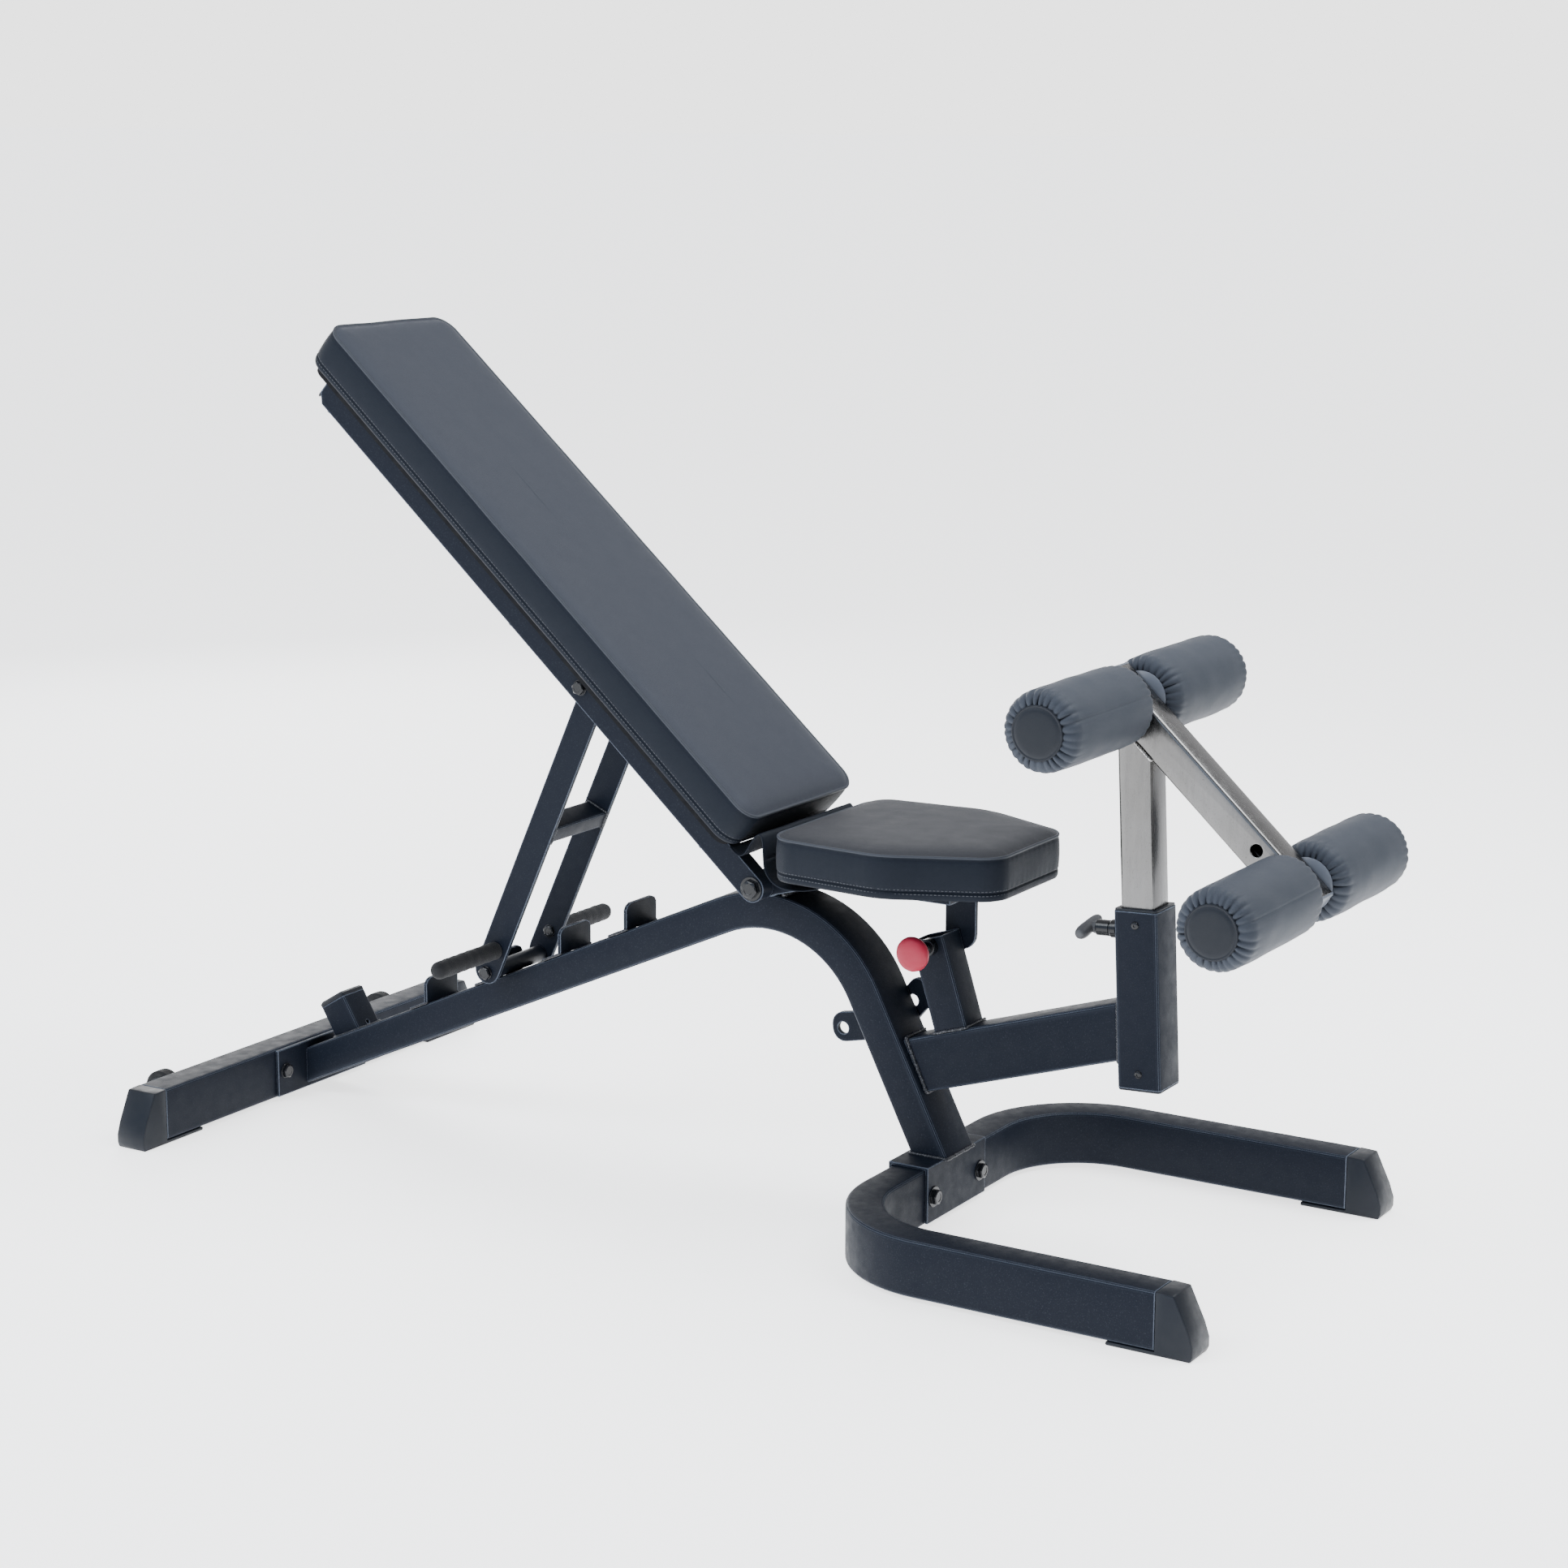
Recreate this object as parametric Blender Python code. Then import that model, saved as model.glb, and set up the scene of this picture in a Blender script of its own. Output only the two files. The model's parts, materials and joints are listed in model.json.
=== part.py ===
"""Decline sit-up bench with a hinged back, a tilting seat and a sliding leg hold-down.

Bench frame: X runs from the rear stabiliser towards the foot rollers, Y across, Z up, with Z = 0 at
the underside of the base tubes. An empty shifts the whole bench so that it stands on the world's
Z = 0 with its box centred on X = 0. Lengths are in metres. Left is +Y, right is -Y.
"""
import math

import bmesh
import bpy
from mathutils import Vector

GAP = 0.0003                      # clearance between faces that touch
WALL = 0.0025                     # wall of the steel tubes
CORNER_R = 0.0045                 # outside corner radius of the steel tubes
ROUND_SEGS = 28
RIGHT = -1.0
LEFT = 1.0
SIDES = (("right", RIGHT), ("left", LEFT))

# base: 3 x 2 inch tube on its narrow side
TUBE_HALF_W = 0.0254
TUBE_H = 0.0762
BASE_HALF_Y = 0.3026              # centreline of each leg of the U
BASE_REAR_X = 1.1058              # centreline of the crossing of the U
BASE_BEND_R = 0.1455
BASE_END_X = 1.585
BEND_STEPS = 18
FOOT_T = 0.0052
FOOT_LEN = 0.065
CAP_TOP = 0.0245                  # how far an end cap reaches out at its top and at its bulge
CAP_BULGE = 0.0510
CAP_BULGE_Z = 0.0140
STAB_HALF_Y = 0.3430
STAB_FOOT_Y = 0.2670

# main tube: rail, arch and leg bent from one 3 x 2 inch tube with its wide side across
MAIN_HALF_Y = 0.0381
MAIN_HALF_T = 0.0254
RAIL_ANGLE = math.radians(24.1)
RAIL_POINT = (0.0244, 0.0327)
PLATE_X = (0.0257, 0.0307)
PLATE_HALF_Y = 0.1030
PLATE_BOLT_Y = 0.0870
PLATE_BOLT_Z = 0.0400
ARCH_CENTRE = (0.8525, 0.2136)
ARCH_R = 0.1730
ARCH_TURN = math.radians(87.4)
SADDLE_TOP = 0.0806
SADDLE_T = 0.0046
SADDLE_HALF_Y = 0.0810
SADDLE_BOLT_Y = 0.0650
SADDLE_BOLT_Z = 0.0370
BOLT_R = 0.0045
BOLT_FIT = 0.0004
WASHER_R = 0.0140
HEAD_R = 0.0085

# ladder and rest post on the rail
LADDER_X = (0.2640, 0.3845, 0.5075, 0.6220)
LADDER_H = 0.0380
LADDER_T = 0.0050
LADDER_FLANGE = (0.0320, 0.0035)
LADDER_CORNER = 0.0090
REST_AXIS = (-0.5210, 0.8536)
REST_OFFSET = 0.1349              # distance of the post's centreline from the origin
REST_TOP = 0.0800
REST_CAP_TOP = 0.0880
REST_HOLE = (0.1236, 0.1112)

# back frame, pad and their own plane: s runs down the pad, n out of its top surface
PAD_POINT = (0.5030, 0.8866)
PAD_DIR = (0.7481, -0.6636)
PAD_NORMAL = (0.6636, 0.7481)
PIVOT = (0.8664, 0.4323)
PIVOT_SN = (0.5733, -0.0987)
PIVOT_TUBE_R = 0.0200
PIVOT_TUBE_HALF_Y = 0.0500
PIVOT_BOLT_R = 0.0075
PIVOT_WASHER_R = 0.0164
BACK_RAIL_Y = (0.0706, 0.0960)
BACK_RAIL_N = (-0.1180, -0.0797)
BACK_RAIL_TOP_S = -0.3900
STRAP_S = (-0.3665, 0.0555, 0.4770)
STRAP_HALF_S = 0.0250
STRAP_HALF_Y = 0.1000
STRAP_N = (-0.0794, -0.0730)
BOARD_N = (-0.0727, -0.0619)
PAD_BOTTOM_N = -0.0616
PAD_CROWN = 0.0040
PAD_S = (-0.4200, 0.5220)
PAD_HALF_W = (0.1350, 0.1400)     # half width at the upper and at the lower end
PAD_CORNER = 0.0300

# support arms: two flat bars that stand on the rail in front of a ladder plate
ARM_PIVOT = (0.5876, 0.6815)
ARM_AXLE = (0.3983, 0.2416)
ARM_DIR = (-0.4100, -0.9121)      # down along the bars
ARM_LINES = (0.2420, 0.2842)      # offsets of the bars' two edges
ARM_Y = (0.0630, 0.0690)
ARM_PIN_R = 0.0050
ARM_WASHER_R = 0.0110
SUPPORT_R = 0.0122
SUPPORT_HALF_Y = 0.0600
GRIP_AXIS = (0.4154, 0.2775)
GRIP_R = 0.0128
GRIP_Y = (0.0693, 0.2120)
BRACE_CENTRE = (0.4987, 0.4637)
BRACE_HALF = (0.0125, 0.0185)     # along the arms and across them

# seat
SEAT_TOP_Z = 0.5240
SEAT_CROWN = 0.0035
SEAT_BOTTOM_Z = 0.4600
SEAT_BOARD_Z = (0.4448, 0.4597)
SEAT_OUTLINE = ((0.9210, 0.1450), (1.0985, 0.1590), (1.2415, 0.0930))
SEAT_CORNER = 0.0220
BOARD_INSET = 0.0120
SEAT_BOARD_INSET = 0.0680
SEAT_PLATE_Z = (0.4385, 0.4445)
SEAT_PLATE_X = (0.9050, 1.1500)
SEAT_EAR_Y = (0.0503, 0.0563)
SECTOR_Y = (0.0258, 0.0318)
SECTOR_X = (1.0990, 1.1450)
SECTOR_LOW_Z = 0.3570
POST_HALF = 0.0254
SEAT_POST_AXIS = (-0.3000, 0.9539)
SEAT_POST_TOP = (1.0977, 0.3793)
SEAT_PIN = (1.1050, 0.3700)
SEAT_PIN_R = 0.0050
SEAT_KNOB_R = 0.0235
SEAT_KNOB_Y = (-0.0830, -0.0570)

# front beam, sleeve and leg hold-down
BEAM_TOP = ((1.0688, 0.2358), (1.3754, 0.3316))
BEAM_HALF_Y = 0.0254
BEAM_DEPTH = 0.0762
SLEEVE_TOP = (1.4053, 0.4579)
SLEEVE_AXIS = (-0.0506, 0.9987)
SLEEVE_LEN = 0.2353
SLEEVE_HALF = 0.0305
LINER_LIP = 0.0030
HOLD_HALF = 0.0235
HOLD_INSERT = 0.1500
ROLLER_UPPER = (1.3780, 0.7258)
ROLLER_LOWER = (1.6140, 0.5098)
ROLLER_OVERHANG = (0.0400, 0.0300)
ROLLER_AXLE_R = 0.0080
ROLLER_R = 0.0520
ROLLER_Y = (0.0300, 0.2600)
ROLLER_END_R = 0.0360
SPARE_HOLE = (1.5670, 0.5574)
T_PIN_Z = 0.4250
T_PIN_X = (1.3350, 1.3800)
T_BAR_HALF_Y = 0.0260
T_BAR_R = 0.0080

# accessory plate on the far face of the leg
ACC_Y = (0.0384, 0.0464)
ACC_OUTLINE = (
    (0.9140, 0.2352), (0.9600, 0.2425), (1.0300, 0.2865), (1.0480, 0.3080),
    (1.0850, 0.2780), (1.0620, 0.2595), (1.0250, 0.2150), (0.9180, 0.1920))
ACC_HOLES = ((0.9327, 0.2150, 0.0088), (1.0431, 0.2709, 0.0088))

# transport wheels behind the stabiliser
WHEEL_X = -0.0600
WHEEL_Z = 0.0400
WHEEL_R = 0.0290
WHEEL_Y = (0.2430, 0.2650)
WHEEL_PIN_R = 0.0050
BRACKET_Y = (0.2380, 0.2425)

X_SHIFT = -(WHEEL_X - WHEEL_R + ROLLER_LOWER[0] + ROLLER_R) / 2
Z_SHIFT = GAP + FOOT_T

PAINT = ("frame_paint", (0.020, 0.024, 0.034), 0.45, 0.6)
CHROME = ("satin_chrome", (0.60, 0.58, 0.55), 0.28, 1.0)
ZINC = ("dark_zinc", (0.16, 0.16, 0.17), 0.30, 1.0)
VINYL = ("charcoal_vinyl", (0.060, 0.064, 0.075), 0.55, 0.0)
PLASTIC = ("black_plastic", (0.018, 0.018, 0.020), 0.50, 0.0)
FOAM = ("grip_foam", (0.045, 0.045, 0.048), 0.90, 0.0)
RED = ("red_plastic", (0.52, 0.07, 0.10), 0.45, 0.0)
WOOD = ("stained_board", (0.020, 0.020, 0.022), 0.70, 0.0)
RUBBER = ("black_rubber", (0.022, 0.022, 0.022), 0.80, 0.0)


# ---------------------------------------------------------------- objects

def clear_scene():
    for obj in list(bpy.data.objects):
        bpy.data.objects.remove(obj, do_unlink=True)


def material(look):
    name, colour, roughness, metallic = look
    found = bpy.data.materials.get(name)
    if found:
        return found
    mat = bpy.data.materials.new(name)
    mat.use_nodes = True
    shader = mat.node_tree.nodes["Principled BSDF"]
    shader.inputs["Base Color"].default_value = (*colour, 1.0)
    shader.inputs["Roughness"].default_value = roughness
    shader.inputs["Metallic"].default_value = metallic
    mat.diffuse_color = (*colour, 1.0)
    return mat


def offset_of(parent):
    """Position of an empty in the bench frame."""
    total = Vector((0.0, 0.0, 0.0))
    while parent is not None and parent.name != "bench":
        total += parent.location
        parent = parent.parent
    return total


def axis_empty(name, xz, parent, y=0.0):
    """An empty on a joint's axis, at a point of the bench frame."""
    obj = bpy.data.objects.new(name, None)
    obj.empty_display_size = 0.05
    bpy.context.collection.objects.link(obj)
    obj.parent = parent
    obj.location = Vector((xz[0], y, xz[1])) - offset_of(parent)
    return obj


def piece(name, bm, look, parent):
    """Turn a bmesh drawn in the bench frame into a named object under its parent."""
    bmesh.ops.translate(bm, verts=bm.verts, vec=-offset_of(parent))
    bmesh.ops.recalc_face_normals(bm, faces=bm.faces)
    mesh = bpy.data.meshes.new(name)
    bm.to_mesh(mesh)
    bm.free()
    mesh.materials.append(material(look))
    mesh.shade_smooth()
    mesh.set_sharp_from_angle(angle=math.radians(32))
    obj = bpy.data.objects.new(name, mesh)
    bpy.context.collection.objects.link(obj)
    obj.parent = parent
    return obj


def shape(obj, operation, tools):
    """Cut solids out of an object, or join them to it, and keep the result as its mesh."""
    look = obj.data.materials[0]
    for bm in tools:
        tool = piece(obj.name + "_tool", bm, PLASTIC, obj.parent)
        tool.hide_render = True
        tool.display_type = "WIRE"
        modifier = obj.modifiers.new("shape", "BOOLEAN")
        modifier.operation = operation
        modifier.solver = "EXACT"
        modifier.object = tool
        bpy.context.view_layer.update()
        depsgraph = bpy.context.evaluated_depsgraph_get()
        result = bpy.data.meshes.new_from_object(obj.evaluated_get(depsgraph))
        obj.modifiers.clear()
        obj.data = result
        bpy.data.objects.remove(tool, do_unlink=True)
    obj.data.materials.clear()
    obj.data.materials.append(look)
    obj.data.set_sharp_from_angle(angle=math.radians(32))


def broken_edges(obj, width=0.0008, segments=1):
    """Bevel the outward corners of an object."""
    bm = bmesh.new()
    bm.from_mesh(obj.data)
    weights = bm.edges.layers.float.new("bevel_weight_edge")
    for edge in bm.edges:
        if edge.is_convex and edge.calc_face_angle(0.0) > math.radians(40):
            edge[weights] = 1.0
    bm.to_mesh(obj.data)
    bm.free()
    modifier = obj.modifiers.new("edge_break", "BEVEL")
    modifier.width = width
    modifier.segments = segments
    modifier.limit_method = "WEIGHT"


# ---------------------------------------------------------------- outlines

def rounded(points, radii, steps=5):
    """A closed outline with each corner of a polygon replaced by an arc of the given radius."""
    outline = []
    count = len(points)
    for index in range(count):
        here = Vector(points[index])
        before = (Vector(points[index - 1]) - here).normalized()
        after = (Vector(points[(index + 1) % count]) - here).normalized()
        radius = radii[index] if isinstance(radii, (list, tuple)) else radii
        if radius <= 0.0:
            outline.append((here.x, here.y))
            continue
        half = before.angle(after) / 2
        middle = here + (before + after).normalized() * (radius / math.sin(half))
        start = here + before * (radius / math.tan(half)) - middle
        sweep = math.pi - 2 * half
        turn = before.x * after.y - before.y * after.x
        sign = -1.0 if turn > 0 else 1.0
        for step in range(steps + 1):
            angle = sign * sweep * step / steps
            x = start.x * math.cos(angle) - start.y * math.sin(angle)
            y = start.x * math.sin(angle) + start.y * math.cos(angle)
            outline.append((middle.x + x, middle.y + y))
    return outline


def inset(points, distance):
    """The corners of a convex polygon moved inwards by a distance."""
    count = len(points)
    area = sum(points[i - 1][0] * points[i][1] - points[i][0] * points[i - 1][1] for i in range(count))
    sign = 1.0 if area > 0 else -1.0
    moved = []
    for index in range(count):
        here = Vector(points[index])
        into = (here - Vector(points[index - 1])).normalized()
        out = (Vector(points[(index + 1) % count]) - here).normalized()
        normal_in = Vector((-into.y, into.x)) * sign
        normal_out = Vector((-out.y, out.x)) * sign
        mean = (normal_in + normal_out).normalized()
        moved.append(tuple(here + mean * (distance / mean.dot(normal_in))))
    return moved


def rectangle(half_a, half_b, radius, steps=3):
    corners = ((-half_a, -half_b), (half_a, -half_b), (half_a, half_b), (-half_a, half_b))
    return rounded(corners, max(radius, 0.0), steps) if radius > 0 else list(corners)


def round_bar(points, radius, steps=10):
    """Outline of a straight bar with a half-round at both ends; points are the end centres."""
    start = Vector(points[0])
    end = Vector(points[1])
    along = (end - start).normalized()
    base = math.atan2(along.y, along.x)
    outline = []
    for centre, first in ((end, base - math.pi / 2), (start, base + math.pi / 2)):
        for step in range(steps + 1):
            angle = first + math.pi * step / steps
            outline.append((centre.x + radius * math.cos(angle), centre.y + radius * math.sin(angle)))
    return outline


def pad_xz(s, n):
    """A point of the back pad's own plane, in the bench frame."""
    return (PAD_POINT[0] + s * PAD_DIR[0] + n * PAD_NORMAL[0],
            PAD_POINT[1] + s * PAD_DIR[1] + n * PAD_NORMAL[1])


def rail_top(x):
    """Height of the rail's top face."""
    along = x - RAIL_POINT[0]
    return RAIL_POINT[1] + along * math.tan(RAIL_ANGLE) + MAIN_HALF_T / math.cos(RAIL_ANGLE)


# ---------------------------------------------------------------- solids

def loft(rings, closed=False):
    """A solid through rings of points: capped at both ends, or closed on itself."""
    bm = bmesh.new()
    made = [[bm.verts.new(point) for point in ring] for ring in rings]
    size = len(made[0])
    pairs = list(zip(made, made[1:]))
    if closed:
        pairs.append((made[-1], made[0]))
    for lower, upper in pairs:
        for index in range(size):
            after = (index + 1) % size
            bm.faces.new((lower[index], lower[after], upper[after], upper[index]))
    if not closed:
        bm.faces.new(made[0])
        bm.faces.new(list(reversed(made[-1])))
    return bm


def prism_y(outline, y0, y1):
    """An outline in the XZ plane, extruded across."""
    return loft([[(x, y, z) for x, z in outline] for y in (y0, y1)])


def prism_z(outlines, levels):
    """Outlines in the XY plane at rising heights."""
    return loft([[(x, y, z) for x, y in outline] for outline, z in zip(outlines, levels)])


def block(low, high):
    (x0, y0, z0), (x1, y1, z1) = low, high
    return loft([[(x0, y0, z), (x1, y0, z), (x1, y1, z), (x0, y1, z)] for z in (z0, z1)])


def across(direction):
    """Two unit vectors across a direction."""
    direction = Vector(direction).normalized()
    helper = Vector((0, 0, 1)) if abs(direction.z) < 0.9 else Vector((1, 0, 0))
    first = direction.cross(helper).normalized()
    return first, direction.cross(first).normalized()


def turned(origin, direction, profile, segments=ROUND_SEGS, closed=False):
    """A solid of revolution from (distance along, radius) pairs."""
    origin = Vector(origin)
    direction = Vector(direction).normalized()
    first, second = across(direction)
    rings = []
    for along, radius in profile:
        ring = []
        for index in range(segments):
            angle = 2 * math.pi * index / segments
            out = first * math.cos(angle) + second * math.sin(angle)
            ring.append(origin + direction * along + out * radius)
        rings.append(ring)
    return loft(rings, closed)


def rod_y(xz, radius, y0, y1, segments=ROUND_SEGS):
    return turned((xz[0], 0.0, xz[1]), (0, 1, 0), ((y0, radius), (y1, radius)), segments)


def ring_y(xz, inner, outer, y0, y1, segments=ROUND_SEGS):
    """A plain bush across the bench."""
    profile = ((y0, inner), (y0, outer), (y1, outer), (y1, inner))
    return turned((xz[0], 0.0, xz[1]), (0, 1, 0), profile, segments, closed=True)


def onto_plane(point, along, plane):
    """Slide a point along a direction until it lies on a plane (point, normal)."""
    origin, normal = Vector(plane[0]), Vector(plane[1])
    along = Vector(along)
    return point + along * ((origin - point).dot(normal) / along.dot(normal))


def box_tube(stations, half_a, half_b, wall, radius=CORNER_R, start=None, end=None):
    """A hollow rectangular tube through stations of (centre, tangent, a axis, b axis)."""
    outlines = (rectangle(half_a, half_b, radius), rectangle(half_a - wall, half_b - wall, radius - wall))
    skins = []
    for outline in outlines:
        skin = []
        for index, (centre, tangent, a_axis, b_axis) in enumerate(stations):
            ring = [Vector(centre) + Vector(a_axis) * a + Vector(b_axis) * b for a, b in outline]
            if index == 0 and start:
                ring = [onto_plane(point, tangent, start) for point in ring]
            if index == len(stations) - 1 and end:
                ring = [onto_plane(point, tangent, end) for point in ring]
            skin.append(ring)
        skins.append(skin)
    return loft(skins[0] + list(reversed(skins[1])), closed=True)


def straight_tube(start_point, end_point, half_a, half_b, wall, a_axis=(0, 1, 0), start=None, end=None):
    tangent = (Vector(end_point) - Vector(start_point)).normalized()
    b_axis = tangent.cross(Vector(a_axis)).normalized()
    stations = [(start_point, tangent, a_axis, b_axis), (end_point, tangent, a_axis, b_axis)]
    return box_tube(stations, half_a, half_b, wall, CORNER_R, start, end)


def through_bolt(origin, direction, grip, shank_r, washer_r, head_r):
    """A bolt, its washers and its nut: the head side first, then the length it clamps."""
    washer_t = 0.0016
    head_t = 0.0060
    profile = (
        (-GAP - washer_t - head_t, head_r), (-GAP - washer_t, head_r), (-GAP - washer_t, washer_r),
        (-GAP, washer_r), (-GAP, shank_r), (grip + GAP, shank_r), (grip + GAP, washer_r),
        (grip + GAP + washer_t, washer_r), (grip + GAP + washer_t, head_r),
        (grip + GAP + washer_t + head_t, head_r))
    return turned(origin, direction, profile, 24)


# ---------------------------------------------------------------- sub-assemblies

def end_foot(outline_ab, placed):
    """An end cap with its foot, as an outline run across the tube."""
    return loft([[placed(a, b, side) for a, b in outline_ab] for side in (-TUBE_HALF_W, TUBE_HALF_W)])


def foot_outline(tube_end, foot_start):
    """Side view of an end cap that hooks under the tube: distance outwards and height."""
    return (
        (tube_end + GAP, TUBE_H), (tube_end + CAP_TOP, TUBE_H - 0.001),
        (tube_end + CAP_BULGE - 0.006, CAP_BULGE_Z + 0.018), (tube_end + CAP_BULGE, CAP_BULGE_Z),
        (tube_end + CAP_BULGE, 0.002), (tube_end + CAP_BULGE - 0.003, -GAP - FOOT_T),
        (foot_start, -GAP - FOOT_T), (foot_start, -GAP), (tube_end + GAP, -GAP))


def build_stabilizer(bench):
    axes = ((1, 0, 0), (0, 0, 1))
    ends = [((0.0, side * STAB_HALF_Y, TUBE_H / 2), (0, 1, 0), *axes) for side in (RIGHT, LEFT)]
    tube = piece("rear_stabilizer", box_tube(ends, TUBE_HALF_W, TUBE_H / 2, WALL), PAINT, bench)
    plate = piece("stabilizer_plate", block((PLATE_X[0], -PLATE_HALF_Y, 0.002),
                                            (PLATE_X[1], PLATE_HALF_Y, TUBE_H - 0.002)), PAINT, bench)
    front_wall = TUBE_HALF_W - WALL
    for name, side in SIDES:
        here = (front_wall, side * PLATE_BOLT_Y, PLATE_BOLT_Z)
        for target in (tube, plate):
            drill = turned(here, (1, 0, 0), ((-0.004, BOLT_R + BOLT_FIT), (0.012, BOLT_R + BOLT_FIT)), 20)
            shape(target, "DIFFERENCE", [drill])
        grip = PLATE_X[1] - front_wall
        bolt = through_bolt(here, (1, 0, 0), grip, BOLT_R, 0.0110, HEAD_R)
        piece("stabilizer_bolt_" + name, bolt, ZINC, bench)
        outline = foot_outline(STAB_HALF_Y, STAB_FOOT_Y)
        foot = end_foot(outline, lambda a, b, across_x, side=side: (across_x, side * a, b))
        broken_edges(piece("stabilizer_foot_" + name, foot, PLASTIC, bench), 0.0020, 2)
    broken_edges(plate)


def build_base(bench):
    """The U-shaped base, its feet, and the saddle the main tube's leg stands on."""
    stations = []
    straight = ((BASE_END_X, 0), (BASE_REAR_X + BASE_BEND_R, 0))
    centre_x = BASE_REAR_X + BASE_BEND_R
    centre_y = BASE_HALF_Y - BASE_BEND_R
    up = (0, 0, 1)
    mid_z = TUBE_H / 2
    stations.append(((straight[0][0], -BASE_HALF_Y, mid_z), (-1, 0, 0), (0, -1, 0), up))
    for step in range(BEND_STEPS + 1):
        angle = math.pi / 2 * step / BEND_STEPS
        out = (-math.sin(angle), -math.cos(angle), 0)
        tangent = (-math.cos(angle), math.sin(angle), 0)
        centre = (centre_x + out[0] * BASE_BEND_R, -centre_y + out[1] * BASE_BEND_R, mid_z)
        stations.append((centre, tangent, out, up))
    for centre, tangent, out, _ in reversed(stations[:]):
        mirrored = (centre[0], -centre[1], centre[2])
        stations.append((mirrored, (-tangent[0], tangent[1], 0), (out[0], -out[1], 0), up))
    base = piece("u_base", box_tube(stations, TUBE_HALF_W, TUBE_H / 2, WALL), PAINT, bench)

    rear = BASE_REAR_X - TUBE_HALF_W - GAP
    front = BASE_REAR_X + TUBE_HALF_W + GAP
    outline = (
        (rear - SADDLE_T, 0.002), (rear, 0.002), (rear, TUBE_H + GAP), (front, TUBE_H + GAP),
        (front, 0.002), (front + SADDLE_T, 0.002), (front + SADDLE_T, SADDLE_TOP), (rear - SADDLE_T, SADDLE_TOP))
    saddle = piece("base_saddle", prism_y(outline, -SADDLE_HALF_Y, SADDLE_HALF_Y), PAINT, bench)
    for name, side in SIDES:
        here = (front + SADDLE_T, side * SADDLE_BOLT_Y, SADDLE_BOLT_Z)
        grip = front - rear + 2 * SADDLE_T
        for target in (saddle, base):
            drill_r = BOLT_R + BOLT_FIT
            drill = turned(here, (-1, 0, 0), ((-0.010, drill_r), (grip + 0.010, drill_r)), 20)
            shape(target, "DIFFERENCE", [drill])
        bolt = through_bolt(here, (-1, 0, 0), grip, BOLT_R, WASHER_R, HEAD_R)
        piece("saddle_bolt_" + name, bolt, ZINC, bench)
        middle = side * BASE_HALF_Y
        foot_side = foot_outline(BASE_END_X, BASE_END_X - FOOT_LEN)
        foot = end_foot(foot_side, lambda a, b, across_y, middle=middle: (a, middle + across_y, b))
        broken_edges(piece("base_foot_" + name, foot, PLASTIC, bench), 0.0020, 2)
    broken_edges(saddle, 0.0006)


def build_main_tube(bench):
    """Rail, arch and leg in one bent tube, from the stabiliser plate up and down to the saddle."""
    side = (0, 1, 0)
    rail = Vector((math.cos(RAIL_ANGLE), 0, math.sin(RAIL_ANGLE)))
    first_angle = RAIL_ANGLE + math.pi / 2
    stations = [((RAIL_POINT[0], 0, RAIL_POINT[1]), rail, side, rail.cross(Vector(side)))]
    for step in range(BEND_STEPS + 3):
        angle = first_angle - ARCH_TURN * step / (BEND_STEPS + 2)
        out = Vector((math.cos(angle), 0, math.sin(angle)))
        tangent = Vector((math.sin(angle), 0, -math.cos(angle)))
        centre = Vector((ARCH_CENTRE[0], 0, ARCH_CENTRE[1])) + out * ARCH_R
        stations.append((centre, tangent, side, tangent.cross(Vector(side))))
    leg = stations[-1][1]
    foot = onto_plane(stations[-1][0], leg, ((0, 0, SADDLE_TOP + GAP), (0, 0, 1)))
    stations.append((foot, leg, side, leg.cross(Vector(side))))
    start = ((PLATE_X[1] + GAP, 0, 0), (1, 0, 0))
    end = ((0, 0, SADDLE_TOP + GAP), (0, 0, 1))
    tube = box_tube(stations, MAIN_HALF_Y, MAIN_HALF_T, WALL, CORNER_R, start, end)
    piece("main_tube", tube, PAINT, bench)
    return leg, foot


def build_ladder(bench):
    """Upright plates welded across the rail, each on its own flange."""
    flange_len, flange_t = LADDER_FLANGE
    for number, front in enumerate(LADDER_X, 1):
        top = rail_top(front) + LADDER_H
        rear = front - LADDER_T
        rings = []
        for y, drop in ((1.0, LADDER_CORNER), (0.9, 0.0035), (0.7, 0.0), (-0.7, 0.0), (-0.9, 0.0035),
                        (-1.0, LADDER_CORNER)):
            ring_y_pos = y * (MAIN_HALF_Y - 0.0005)
            rings.append([
                (front, ring_y_pos, rail_top(front) + GAP), (front, ring_y_pos, top - drop),
                (rear, ring_y_pos, top - drop), (rear, ring_y_pos, rail_top(rear) + flange_t),
                (front - flange_len, ring_y_pos, rail_top(front - flange_len) + flange_t),
                (front - flange_len, ring_y_pos, rail_top(front - flange_len) + GAP)])
        piece("ladder_plate_%d" % number, loft(rings), PAINT, bench)


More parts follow.
